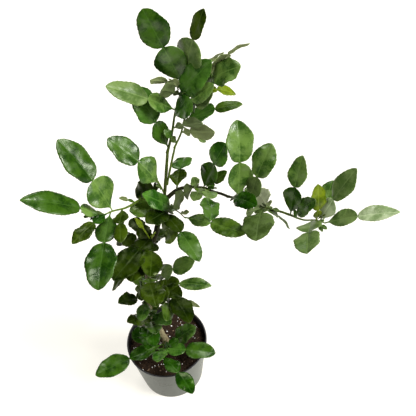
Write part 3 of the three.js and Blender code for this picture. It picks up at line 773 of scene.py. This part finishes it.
# A leaf as two thin closed shells, its wing and its blade. Its midrib is an arc that droops from end
# to end and sways a little sideways; across, it folds up from the midrib and arches back down, with
# waves near the margin, a soft swell between the veins and a slightly uneven outline.
def leafShells(root, leaf, chance, rng):
    form = leafForm
    bend = math.radians(lerp(*form["bend"], next(chance)))
    fold = lerp(*form["fold"], next(chance))
    forward, face, side = leafAxes(root, leaf, leaf["length"] * 2 * math.sin(bend / 2) / bend)
    length = leaf["length"] * form["inset"]
    alongSteps, acrossSteps = form["youngSteps"] if "fine" in leaf else form["steps"]
    joint = round(alongSteps * leaf["wingShare"])
    share = np.concatenate([np.linspace(0, leaf["wingShare"], joint),
                            np.linspace(leaf["wingShare"], 1, alongSteps - joint + 1)[1:]])
    across = np.linspace(-1, 1, acrossSteps)
    half = halfWidths(share, leaf)
    turn = bend * (share - 0.5)
    reach = (np.sin(turn) + math.sin(bend / 2)) / bend * length
    lift = (np.cos(turn) - math.cos(bend / 2)) / bend * length
    sway = form["sway"] * length * rng.uniform(-1, 1) * np.sin(np.pi * share)
    middle = root + reach[:, None] * forward + lift[:, None] * face + sway[:, None] * side
    s, v = np.meshgrid(share, across, indexing="ij")
    w = half[:, None] * np.ones_like(v)
    broad = np.clip(w / form["broad"], 0, 1)
    lobeStep, toothStep, marginStep = (step * np.sign(v) for step in form["outOfStep"])
    lobes = np.sin(2 * np.pi * s * rng.uniform(*form["lobes"]) + rng.uniform(0, form["phase"]) + lobeStep)
    teeth = np.sin(2 * np.pi * s * length / form["toothSpacing"] + toothStep)
    out = v * (w * (1 + form["uneven"] * broad * lobes) + form["teeth"] * broad * teeth)
    arch = rng.uniform(*form["arch"])
    rise = w * (fold * np.abs(v) * form["foldGain"] - arch * v ** 2)
    marginTurns = 2 * np.pi * s * rng.uniform(*form["marginWaves"]) + rng.uniform(0, form["phase"])
    rise += form["margin"] * np.abs(v) ** 1.5 * broad * np.sin(marginTurns + marginStep)
    flat = np.stack([s * length, out], -1)
    swell = waves(flat, form["swellLength"], form["swellWaves"], rng.integers(1 << 30))
    rise += form["swell"] * swell * np.clip(w / form["swellBroad"], 0, 1) * np.abs(v) ** 0.5
    rise -= bell(out, *form["groove"]) * np.clip(w / form["grooveBroad"], 0, 1)
    centre = middle[:, None, :] + out[..., None] * side + rise[..., None] * face
    gauge = form["thickness"] / 2 + bell(out, *form["rib"])
    top = centre + (gauge * form["topShare"] + form["thickness"] / 4)[..., None] * face
    under = centre - gauge[..., None] * face
    wing = closedShell(top[:joint], under[:joint], flat[:joint])
    blade = closedShell(top[joint - 1:], under[joint - 1:], flat[joint - 1:])
    return wing, blade


# How far the leaves that grow by rule differ from each other; widths are shares of the length.
spiralRange = {
    "along": (0.35, 0.97), "spread": (0.6, 1.2), "climb": (-10, 10), "length": (0.85, 1.15),
    "turn": (-15, 15), "wingShare": (0.4, 0.48), "blade": (0.33, 0.4), "wing": (0.24, 0.32),
}


# Leaves by rule: evenly up the stem, alternating to either side of the heading, with small chances.
def spiralLeaves(spiral, chance):
    leaves = []
    for index in range(spiral["count"]):
        side = 1 if index % 2 == 0 else -1
        leaf = {"along": lerp(*spiralRange["along"], index / (spiral["count"] - 1))}
        spread = spiral["spread"] * lerp(*spiralRange["spread"], next(chance))
        leaf["heading"] = spiral["heading"] + side * spread
        leaf["climb"] = spiral["climb"] + lerp(*spiralRange["climb"], next(chance))
        leaf["length"] = spiral["length"] * lerp(*spiralRange["length"], next(chance))
        leaf["turn"] = lerp(*spiralRange["turn"], next(chance))
        leaf["wingShare"] = lerp(*spiralRange["wingShare"], next(chance))
        leaf["blade"] = leaf["length"] * lerp(*spiralRange["blade"], next(chance))
        leaf["wing"] = leaf["length"] * lerp(*spiralRange["wing"], next(chance))
        # The leaves at the back take the dark kind, painted shade.
        leaf["wingKind"] = leaf["bladeKind"] = "dark"
        leaves.append(leaf)
    return leaves


# Leaves that were read from the photo.
def placedLeaves(size):
    names = ("along", "tip", "length", "wingShare", "blade", "wing", "turn", "wingKind", "bladeKind")
    leaves = [dict(zip(names, row), behind=False) for row in size.get("leaves", [])]
    return leaves + [dict(zip(names, row), behind=True) for row in size.get("behind", [])]


# Every large leaf with its shoot, its root on the stem and its shoot's stream of chances.
def leafPlaces():
    places = []
    for name, size in shoots.items():
        chance = seededRandom(size["seed"])
        leaves = spiralLeaves(size["spiral"], chance) if "spiral" in size else placedLeaves(size)
        places += [(name, grown[name]["path"].at(leaf["along"]), leaf, chance) for leaf in leaves]
    return places


# The finest growth: "narrow" thins the stalks of the young leaves, "stray" turns a thorn or twig at
# random, and a twig has two or three young leaves, as "count" ends before its last number.
fineSizes = {
    "twigEvery": 3, "twig": (8, 16), "twigWidths": (1.4, 0.9), "thorn": (5, 9), "thornWidths": (1.3, 0.1),
    "leaf": (11, 19), "blade": 0.42, "wing": 0.3, "narrow": 0.4, "wingShare": (0.25, 0.4),
    "outerHalf": (0.5, 1), "spread": 60, "spreadFrom": 1.2, "headingStray": (-15, 15),
    "climbStray": (-20, 20), "turn": (-25, 25), "lean": 0.5, "stray": 0.2, "count": (2, 4), "seed": 131,
}
# A thorn's or side twig's rings, as shares of its length, and how far each is open.
spikeForm = {
    "rings": (0, 0.001, 0.25, 0.5, 0.75, 0.97, 1), "closing": (0.02, 1, 1, 1, 1, 1, 0.02),
    "around": 7, "bow": 0.08, "beside": (0.2, 0.3, 0.93),
}


# The finest growth, in the angle between a stem and a leaf's stalk: a thorn, or at every few leaves a
# side twig with young leaves. It leans from the stem's direction towards the leaf's by "lean"; its
# young leaves come one after another along its outer half, to either side, and take the colour of the
# leaf beside them.
def fineGrowth(places):
    size = fineSizes
    rng = np.random.default_rng(size["seed"])
    thorns, twigs, young = [], [], []
    for index, (name, root, leaf, _) in enumerate(places):
        stem = grown[name]["path"].direction(leaf["along"])
        toLeaf = leafAxes(root, leaf, leaf["length"])[0]
        forward = unitVector(lerp(stem, toLeaf, size["lean"]) + rng.normal(0, size["stray"], 3))
        if index % size["twigEvery"]:
            thorns.append((root, forward, rng.uniform(*size["thorn"])))
            continue
        length = rng.uniform(*size["twig"])
        twigs.append((root, forward, length))
        heading = math.degrees(math.atan2(forward[1], forward[0]))
        climb = math.degrees(math.asin(forward[2]))
        count = rng.integers(*size["count"])
        for order, share in enumerate(np.linspace(*size["outerHalf"], count)):
            span = rng.uniform(*size["leaf"])
            spread = (-1) ** order * size["spread"] * (size["spreadFrom"] - share)
            young.append((name, root + forward * length * share, {
                "heading": heading + spread + rng.uniform(*size["headingStray"]),
                "climb": climb + rng.uniform(*size["climbStray"]), "length": span,
                "turn": rng.uniform(*size["turn"]), "wingShare": rng.uniform(*size["wingShare"]),
                "blade": span * size["blade"], "wing": span * size["wing"], "fine": size["narrow"],
                "wingKind": leaf["bladeKind"], "bladeKind": leaf["bladeKind"],
            }))
    return thorns, twigs, young


# Thorns or side twigs, all at once: each is a circle carried along a line that bows up a little, its
# width going evenly from the first to the second, closed at both ends.
def spikes(rows, widths):
    around, bow = spikeForm["around"], spikeForm["bow"]
    root, forward = (np.array([row[i] for row in rows]) for i in (0, 1))
    length = np.array([row[2] for row in rows])[:, None, None]
    share = np.array(spikeForm["rings"])
    radius = lerp(*widths, share) / 2 * np.array(spikeForm["closing"])
    side = np.cross(forward, spikeForm["beside"])
    side /= np.linalg.norm(side, axis=1)[:, None]
    other = np.cross(side, forward)
    line = share[:, None] * forward[:, None] + bow * share[:, None] ** 2 * other[:, None]
    centre = root[:, None] + length * line
    angle = np.linspace(0, 2 * np.pi, around, endpoint=False)
    ring = np.cos(angle)[:, None] * side[:, None] + np.sin(angle)[:, None] * other[:, None]
    points = centre[:, :, None] + radius[:, None, None] * ring[:, None]
    first = np.arange(len(rows)) * len(share) * around
    quads = gridQuads(len(share), around, True) + first[:, None, None]
    age = np.ones(points.size // 3)
    return {"points": points.reshape(-1, 3), "quads": quads.reshape(-1, 4), "value": age}


# Bark: colour stops by its streaks or blotches, and the ages over which old bark goes over to middle
# and middle to green. The middle bark is near black: darker bark, and painted shade on the trunk and
# boughs inside the crown.
barkLook = {
    "old": [(0.34, (0.10, 0.075, 0.035)), (0.52, (0.26, 0.22, 0.12)), (0.68, (0.42, 0.38, 0.24))],
    # Near black: the darker middle bark, with painted shade for the trunk and boughs inside the crown.
    "middle": [(0.35, (0.004, 0.005, 0.001)), (0.65, (0.022, 0.023, 0.007))],
    "green": [(0.3, (0.045, 0.085, 0.008)), (0.7, (0.115, 0.170, 0.022))],
    "oldToMiddle": (0.02, 0.28), "middleToGreen": (0.55, 0.95), "streakScale": 500, "blotchScale": 90,
    "stretch": 0.25, "roughness": (0.55, 0.85), "specular": 0.08, "bump": (0.5, 0.0007),
}
# The skin's waves are wavelength in millimetres, count and seed. "swelling" is how much wider a foot is
# and over what length, "sink" how far back it starts, and "closed" how far a closed end is open.
barkRelief = {
    "fine": (4.5, 9, 3), "coarse": (11, 7, 4), "coarseShare": 0.6, "stretch": 0.35,
    "swelling": (0.18, 1.6), "sink": 2.5, "closed": 0.02, "tipRings": 6, "fewest": 8,
    "trunk": {"around": 48, "step": 1.2, "relief": 0.045, "sink": 4},
    "bough": {"around": 24, "step": 1.2, "relief": 0.05},
    "stem": {"around": 14, "step": 1.5, "relief": 0.04, "roundTip": True},
}


# Bark: old tan-grey bark turning, through near-black middle bark that is partly painted shade, to green
# twig by the piece's "age" value, with pale pores and cracks.
def barkMaterial():
    look = barkLook
    finish = Finish("bark")
    stretch = finish.node("Mapping", {"Vector": finish.place})
    stretch.inputs["Scale"].default_value = (1, 1, look["stretch"])
    streaks = finish.noise(stretch.outputs["Vector"], look["streakScale"], 5.0, 0.65)
    blotches = finish.noise(finish.place, look["blotchScale"])
    ageNode = finish.node("Attribute", {})
    ageNode.attribute_name = "age"
    age = ageNode.outputs["Fac"]
    old, middle = finish.ramp(streaks, look["old"]), finish.ramp(streaks, look["middle"])
    young = finish.mix(finish.remap(age, *look["oldToMiddle"], 0, 1), old, middle)
    green = finish.ramp(blotches, look["green"])
    finish.put({
        "Base Color": finish.mix(finish.remap(age, *look["middleToGreen"], 0, 1), young, green),
        "Roughness": finish.remap(streaks, *noiseSpan, *look["roughness"]),
        "Specular IOR Level": look["specular"],
    })
    finish.bump(streaks, *look["bump"])
    return finish.material


# A limb's skin: a circle carried along the path in frames that turn with it, its radius the even
# taper with its flare, times one plus waves for the bark, and a slight swelling at its foot. It
# starts a little way back inside what it grows from, and its end closes flat, or round on a shoot.
def limbTube(name, size, around, step, relief, sink=barkRelief["sink"], roundTip=False):
    path = grown[name]["path"]
    rows = max(barkRelief["fewest"], int(path.length / step))
    share = np.linspace(0, 1, rows)
    centre = path.at(share)
    tangent = np.gradient(centre, axis=0)
    tangent /= np.linalg.norm(tangent, axis=1)[:, None]
    swelling, swellLength = barkRelief["swelling"]
    swollen = 1 + swelling * np.exp(-share * path.length / swellLength)
    radius = radiusAt(size, share, path.length) * swollen
    tip = 1 - np.linspace(0, 1, barkRelief["tipRings"])[1:] ** 2 if roundTip else np.zeros(1)
    past = np.sqrt(1 - tip ** 2) * radius[-1] * (1 if roundTip else 0)
    start = centre[:1] - sink * tangent[:1]
    centre = np.concatenate([start, start, centre, centre[-1:] + past[:, None] * tangent[-1:]])
    tangent = np.concatenate([tangent[:1], tangent[:1], tangent, np.repeat(tangent[-1:], len(tip), 0)])
    share = np.concatenate([[0, 0], share, np.ones(len(tip))])
    closed = barkRelief["closed"]
    closing = np.concatenate([[closed, 1], np.ones(rows), np.maximum(tip, closed)])
    radius = np.concatenate([radius[:1], radius[:1], radius, np.repeat(radius[-1:], len(tip))])
    reference = (0, 1, 0) if abs(tangent[:, 1]).max() < 0.9 else (1, 0, 0)
    side = np.cross(reference, tangent)
    side /= np.linalg.norm(side, axis=1)[:, None]
    other = np.cross(tangent, side)
    angle = np.linspace(0, 2 * np.pi, around, endpoint=False)
    ring = np.cos(angle)[:, None] * side[:, None] + np.sin(angle)[:, None] * other[:, None]
    stretched = (centre[:, None] + radius[:, None, None] * ring) * np.array([1, 1, barkRelief["stretch"]])
    coarse = barkRelief["coarseShare"] * waves(stretched, *barkRelief["coarse"])
    bark = 1 + relief * (waves(stretched, *barkRelief["fine"]) + coarse)
    skin = centre[:, None] + (radius[:, None] * bark * closing[:, None])[..., None] * ring
    age = lerp(*size["age"], share)[:, None] * np.ones(around)
    quads = gridQuads(len(share), around, True)[:, ::-1]
    return {"points": skin.reshape(-1, 3), "quads": quads, "value": age.ravel()}


# The pot, in millimetres: the lip of its rim stands out by "lip".
potSizes = {
    "height": 130, "rimDiameter": 165, "baseDiameter": 131, "wall": 1.8, "floor": 3,
    "lip": 1.4, "lipHeight": 3.5, "round": 0.7, "foot": 2, "around": 192, "rings": 30, "roundSteps": 6,
}
potLooks = {
    "potOutside": {
        "dark": (0.085, 0.094, 0.079), "light": (0.112, 0.122, 0.106), "scale": 30,
        "roughness": (0.25, 0.35), "bump": (0.08, 0.0002), "specular": 0.07,
    },
    "potInside": {
        "dark": (0.010, 0.010, 0.011), "light": (0.022, 0.022, 0.024), "scale": 90,
        "roughness": (0.28, 0.45), "bump": (0.3, 0.0005),
    },
}


# A lathe: the profile's radius and height carried round the Z axis.
def latheGrid(profile, around):
    profile = np.array(profile, float)
    angle = np.linspace(0, 2 * np.pi, around, endpoint=False)
    points = np.stack([
        profile[:, 0, None] * np.cos(angle), profile[:, 0, None] * np.sin(angle),
        profile[:, 1, None] * np.ones(around)], -1)
    return {"points": points.reshape(-1, 3), "quads": gridQuads(len(profile), around, True)}


# The wall leans outwards evenly from the base to the rim.
def wallRadius(height):
    size = potSizes
    return lerp(size["baseDiameter"], size["rimDiameter"] - 2 * size["lip"], height / size["height"]) / 2


# The pot's profile, from the middle of its underside out, up its wall, over the rolled lip and down
# inside to the middle of its floor; its lip and inside are black.
def buildPot():
    size = potSizes
    foot, rim, top, r = size["foot"], size["rimDiameter"] / 2, size["height"], size["round"]
    base, lipFoot = wallRadius(0), size["height"] - size["lipHeight"]
    outsideHeights = np.linspace(foot, lipFoot, size["rings"])
    insideHeights = np.linspace(top - 1, size["floor"] + 1, size["rings"])
    turn = np.linspace(0, np.pi / 2, size["roundSteps"])
    profile = [(tiny, 0), (base - 3 * foot, 0), (base - 2.5 * foot, 0), (base - foot, 0)]
    profile += [(base - foot + foot * math.sin(a), foot - foot * math.cos(a)) for a in turn]
    profile += [(wallRadius(z), z) for z in outsideHeights]
    profile += [(rim - r + r * math.sin(a), lipFoot + size["lip"] + r - r * math.cos(a)) for a in turn]
    profile += [(rim - r + r * math.cos(a), top - r + r * math.sin(a)) for a in turn]
    lipRow = len(profile) - 2 * len(turn) - 1
    inner = wallRadius(top) - size["wall"]
    profile += [(inner + r - r * math.sin(a), top - r + r * math.cos(a)) for a in turn]
    profile += [(wallRadius(z) - size["wall"], z) for z in insideHeights]
    profile += [(wallRadius(size["floor"]) - size["wall"], size["floor"]), (tiny, size["floor"])]
    grid = latheGrid(profile, size["around"])
    rows = np.arange(len(grid["quads"])) // size["around"]
    grid["kind"] = (rows >= lipRow).astype(int)
    materials = [mottledMaterial(name, **look) for name, look in potLooks.items()]
    pot = joinedMesh("plasticPot", [grid], materials)
    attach(pot, "root")
    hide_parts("pot")


# The soil: its waves are wavelength in millimetres, count and seed, "drop" is how far it lies below
# "top", and its side goes down by the heights in "levels". "lift" is how far a grain's middle stands
# above the soil, as a share of its half size, and "squash" how flat it is.
soilSizes = {
    "top": 114, "drop": 0.6, "around": 220, "rings": 90, "gap": 0.3, "floorGap": 0.2, "levels": (110, 60),
    "relief": 1.1, "small": (9, 9, 21), "smallShare": 0.6, "large": (24, 7, 22),
    "grit": (3.2, 9, 23), "gritHeight": 0.35, "margin": 2.5, "seed": 5,
}
soilGrains = {
    "soilCrumbs": {"count": 1700, "sizes": (0.8, 2.6), "squash": 0.8, "seed": 31, "lift": 0.3},
    "perliteGrains": {"count": 95, "sizes": (1.4, 3.4), "squash": 0.85, "seed": 32, "lift": 0.5},
    "barkChips": {"count": 60, "sizes": (1.5, 3.6), "squash": 0.4, "seed": 33, "lift": 0.4},
}
lumpForm = {"rows": 5, "columns": 6, "pole": 0.05, "dents": (0.72, 1.2), "stretch": (0.7, 1.3)}
soilLooks = {
    "pottingMix": {
        "dark": (0.008, 0.004, 0.002), "light": (0.034, 0.019, 0.010), "scale": 330,
        "roughness": (0.75, 0.95), "bump": (1.0, 0.0012), "specular": 0.12,
    },
    "soilCrumbs": {
        "dark": (0.009, 0.005, 0.003), "light": (0.046, 0.026, 0.014), "scale": 500,
        "roughness": (0.8, 0.95), "bump": (0.6, 0.0008), "specular": 0.12,
    },
    "perliteGrains": {
        "dark": (0.62, 0.61, 0.57), "light": (0.88, 0.88, 0.85), "scale": 900,
        "roughness": (0.7, 0.9), "bump": (0.5, 0.0005),
    },
    "barkChips": {
        "dark": (0.08, 0.045, 0.025), "light": (0.26, 0.17, 0.10), "scale": 500,
        "roughness": (0.7, 0.9), "bump": (0.5, 0.0006),
    },
}


# Small lumps: a coarse sphere grid, stretched and dented by seeded factors, at each place.
def lumps(places, sizes, squash, seed):
    form = lumpForm
    rng = np.random.default_rng(seed)
    rows, columns = form["rows"], form["columns"]
    polar = np.linspace(form["pole"], np.pi - form["pole"], rows)
    angle = np.linspace(0, 2 * np.pi, columns, endpoint=False)
    unit = np.stack([np.sin(polar)[:, None] * np.cos(angle), np.sin(polar)[:, None] * np.sin(angle),
                     np.cos(polar)[:, None] * np.ones(columns)], -1).reshape(-1, 3)
    count = len(places)
    dents = rng.uniform(*form["dents"], (count, len(unit), 1))
    stretch = rng.uniform(*form["stretch"], (count, 1, 3)) * np.array([1, 1, squash])
    spin = rng.uniform(0, 2 * np.pi, count)
    shape = unit[None] * dents * stretch * sizes[:, None, None]
    c, s = np.cos(spin)[:, None], np.sin(spin)[:, None]
    x, y, z = np.moveaxis(shape, -1, 0)
    points = (np.stack([x * c - y * s, x * s + y * c, z], -1) + places[:, None]).reshape(-1, 3)
    quads = gridQuads(rows, columns, True)[:, ::-1]
    quads = (quads[None] + (np.arange(count) * len(unit))[:, None, None]).reshape(-1, 4)
    return {"points": points, "quads": quads}


# Places spread evenly over a disc: the distance from the middle goes as the root of an even chance.
def scattered(count, reach, seed, least=0.004):
    rng = np.random.default_rng(seed)
    radius = reach * np.sqrt(rng.uniform(least, 1, count))
    angle = rng.uniform(0, 2 * np.pi, count)
    return np.stack([radius * np.cos(angle), radius * np.sin(angle)], -1)


# The soil's level, plus its relief times a mean of small and large waves.
def soilHeight(place):
    size = soilSizes
    relief = lerp(waves(place, *size["large"]), waves(place, *size["small"]), size["smallShare"])
    return size["top"] - size["drop"] + size["relief"] * relief


# A disc of soil with gritty relief, carried down inside the pot to its floor, and grains on its top.
def buildSoil():
    size = soilSizes
    inset = potSizes["wall"] + size["gap"]
    edge = wallRadius(size["top"]) - inset
    low = potSizes["floor"] + size["floorGap"]
    angle = np.linspace(0, 2 * np.pi, size["around"], endpoint=False)
    compass = np.stack([np.cos(angle), np.sin(angle)], -1)
    flat = np.linspace(tiny, edge, size["rings"])[:, None, None] * compass
    height = soilHeight(flat) + size["gritHeight"] * waves(flat, *size["grit"])
    top = np.concatenate([flat, height[..., None]], -1)
    levels = np.array([*size["levels"], low, low])
    reach = np.append(wallRadius(levels[:-1]) - inset, tiny)
    level = levels[:, None, None] * np.ones((1, size["around"], 1))
    below = np.concatenate([reach[:, None, None] * compass, level], -1)
    points = np.concatenate([top, below])
    quads = gridQuads(len(points), size["around"], True)[:, ::-1]
    grid = {"points": points.reshape(-1, 3), "quads": quads}
    soil = joinedMesh("pottingMix", [grid], [mottledMaterial("pottingMix", **soilLooks["pottingMix"])])
    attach(soil, "root")
    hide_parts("soil")
    rng = np.random.default_rng(size["seed"])
    for name, grain in soilGrains.items():
        spots = scattered(grain["count"], edge - size["margin"], grain["seed"])
        halves = rng.uniform(*grain["sizes"], grain["count"]) / 2
        places = np.concatenate([spots, (soilHeight(spots) + halves * grain["lift"])[:, None]], -1)
        shapes = lumps(places, halves, grain["squash"], grain["seed"])
        piece = joinedMesh(name, [shapes], [mottledMaterial(name, **soilLooks[name])])
        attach(piece, "root")


# Trunk, boughs and stems as tubes with bark, and the thorns and side twigs on them.
def buildWood(thorns, sideTwigs):
    bark = barkMaterial()
    boughNames = [name for name in limbs if name != "trunk"]
    trunkTube = limbTube("trunk", limbs["trunk"], **barkRelief["trunk"])
    trunk = joinedMesh("trunkBark", [trunkTube], [bark], "age")
    boughs = [limbTube(name, limbs[name], **barkRelief["bough"]) for name in boughNames]
    bough = joinedMesh("boughBark", boughs, [bark], "age")
    stems = [limbTube(name, size, **barkRelief["stem"]) for name, size in shoots.items()]
    stems += [spikes(thorns, fineSizes["thornWidths"]), spikes(sideTwigs, fineSizes["twigWidths"])]
    twigs = joinedMesh("twigs", stems, [bark], "age")
    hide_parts("trunk")
    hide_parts(*boughNames)
    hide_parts(*shoots)
    for piece in (trunk, bough, twigs):
        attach(piece, "root")


# Every leaf's two shells, joined into one piece for each kind.
def buildLeaves(places, young):
    shells = {kind: [] for kind in leafKinds}
    owners = {kind: set() for kind in leafKinds}
    rng = np.random.default_rng(leafForm["seed"])
    youngChance = seededRandom(fineSizes["seed"])
    for name, root, leaf, chance in places + [(*row, youngChance) for row in young]:
        wing, blade = leafShells(root, leaf, chance, rng)
        shells[leaf["wingKind"]].append(wing)
        shells[leaf["bladeKind"]].append(blade)
        owners[leaf["wingKind"]].add(name)
        owners[leaf["bladeKind"]].add(name)
    for kind, colours in leafKinds.items():
        materials = [leafTopMaterial(kind, colours), leafUnderMaterial(kind, colours)]
        piece = joinedMesh(f"{kind}Leaves", shells[kind], materials)
        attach(piece, "root")
        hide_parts(*sorted(owners[kind]))
        print("leaves", kind, len(shells[kind]), "lobes")


# Each lamp: where its light comes from, its power and how many degrees wide it is.
studio = {
    "fill": 0.05, "backdrop": (0.93, 0.93, 0.91), "lampHeight": 2,
    "floorSize": 12, "floorRoughness": 0.9, "floorColour": (0.36, 0.345, 0.31), "floorGlow": 0.70,
    "glowColour": (1, 0.975, 0.90),
    "lamps": {
        "softKey": ((0.55, -0.24, 0.80), 4.4, 26),
        "softLeft": ((-0.50, -0.25, 0.85), 1.3, 22),
        "softBack": ((0.1, 0.75, 0.7), 1.0, 24),
        "softRight": ((0.9, -0.35, 0.35), 1.5, 18),
    },
}


# Puts a lamp or camera in its place, with its right, up and back directions.
def setAxes(thing, right, up, back, position):
    matrix = Matrix([[right[i], up[i], back[i], position[i]] for i in range(3)] + [[0, 0, 0, 1]])
    thing.matrix_world = matrix


# A pale floor and backdrop under soft lamps; the backdrop is only seen, and the dim fill gives its light.
def buildStage():
    bpy.ops.mesh.primitive_plane_add(size=studio["floorSize"], location=(0, 0, 0))
    floor = bpy.context.object
    floor.name = "paleFloor"
    finish = Finish("paleFloor")
    finish.put({
        "Base Color": studio["floorColour"], "Roughness": studio["floorRoughness"],
        "Emission Color": studio["glowColour"], "Emission Strength": studio["floorGlow"],
    })
    floor.data.materials.append(finish.material)
    world = bpy.data.worlds.new("studio")
    world.use_nodes = True
    nodes, links = world.node_tree.nodes, world.node_tree.links
    dimLight = nodes["Background"]
    dimLight.inputs["Color"].default_value = (1, 1, 1, 1)
    dimLight.inputs["Strength"].default_value = studio["fill"]
    backdrop = nodes.new("ShaderNodeBackground")
    backdrop.inputs["Color"].default_value = (*studio["backdrop"], 1)
    choice = nodes.new("ShaderNodeMixShader")
    links.new(nodes.new("ShaderNodeLightPath").outputs["Is Camera Ray"], choice.inputs["Fac"])
    links.new(dimLight.outputs["Background"], choice.inputs[1])
    links.new(backdrop.outputs["Background"], choice.inputs[2])
    links.new(choice.outputs["Shader"], nodes["World Output"].inputs["Surface"])
    bpy.context.scene.world = world
    for name, (origin, power, spread) in studio["lamps"].items():
        light = bpy.data.lights.new(name, "SUN")
        light.energy = power
        light.angle = math.radians(spread)
        lamp = bpy.data.objects.new(name, light)
        bpy.context.scene.collection.objects.link(lamp)
        back = unitVector(np.array(origin, float))
        right = unitVector(np.cross((0, 0, 1), back))
        setAxes(lamp, right, np.cross(back, right), back, (0, 0, studio["lampHeight"]))


# The camera stands where the photo was taken from.
def buildCamera():
    forward, right, lower = photoAxes()
    data = bpy.data.cameras.new("photoView")
    data.sensor_width = photo["sensor"]
    data.lens = photo["focal"] / (2 * photo["middle"]) * photo["sensor"]
    camera = bpy.data.objects.new("photoView", data)
    bpy.context.scene.collection.objects.link(camera)
    setAxes(camera, right, -lower, -forward, [value * mm for value in photo["eye"]])
    bpy.context.scene.camera = camera


# Each limb or shoot comes after what it grows from.
for limbName in ("trunk", "leader", "secondUpright", "rightBoughInner"):
    grow(limbName, limbs[limbName])
growOrder = [
    "crownLeftFoliage", "crownRightFoliage", "forkFoliage", "rightInnerFoliage", "rightBoughMiddle",
    "rightMiddleFoliage", "rightBoughOuter", "rightOuterFoliage", "leftBough", "leftFoliage",
]
growOrder += [name for name in shoots if name not in growOrder]
for growName in growOrder:
    grow(growName, limbs.get(growName) or shoots[growName])
print("limbs and shoots laid out", len(grown))
buildCamera()
buildStage()
print("stage ready")
buildPot()
buildSoil()
print("pot and soil ready")
leafRows = leafPlaces()
thornRows, twigRows, youngRows = fineGrowth(leafRows)
print("fine growth", len(thornRows), "thorns", len(twigRows), "side twigs", len(youngRows), "young leaves")
buildWood(thornRows, twigRows)
print("wood ready")
buildLeaves(leafRows, youngRows)
print("leaves ready")

bpy.context.scene.view_settings.view_transform = "Standard"
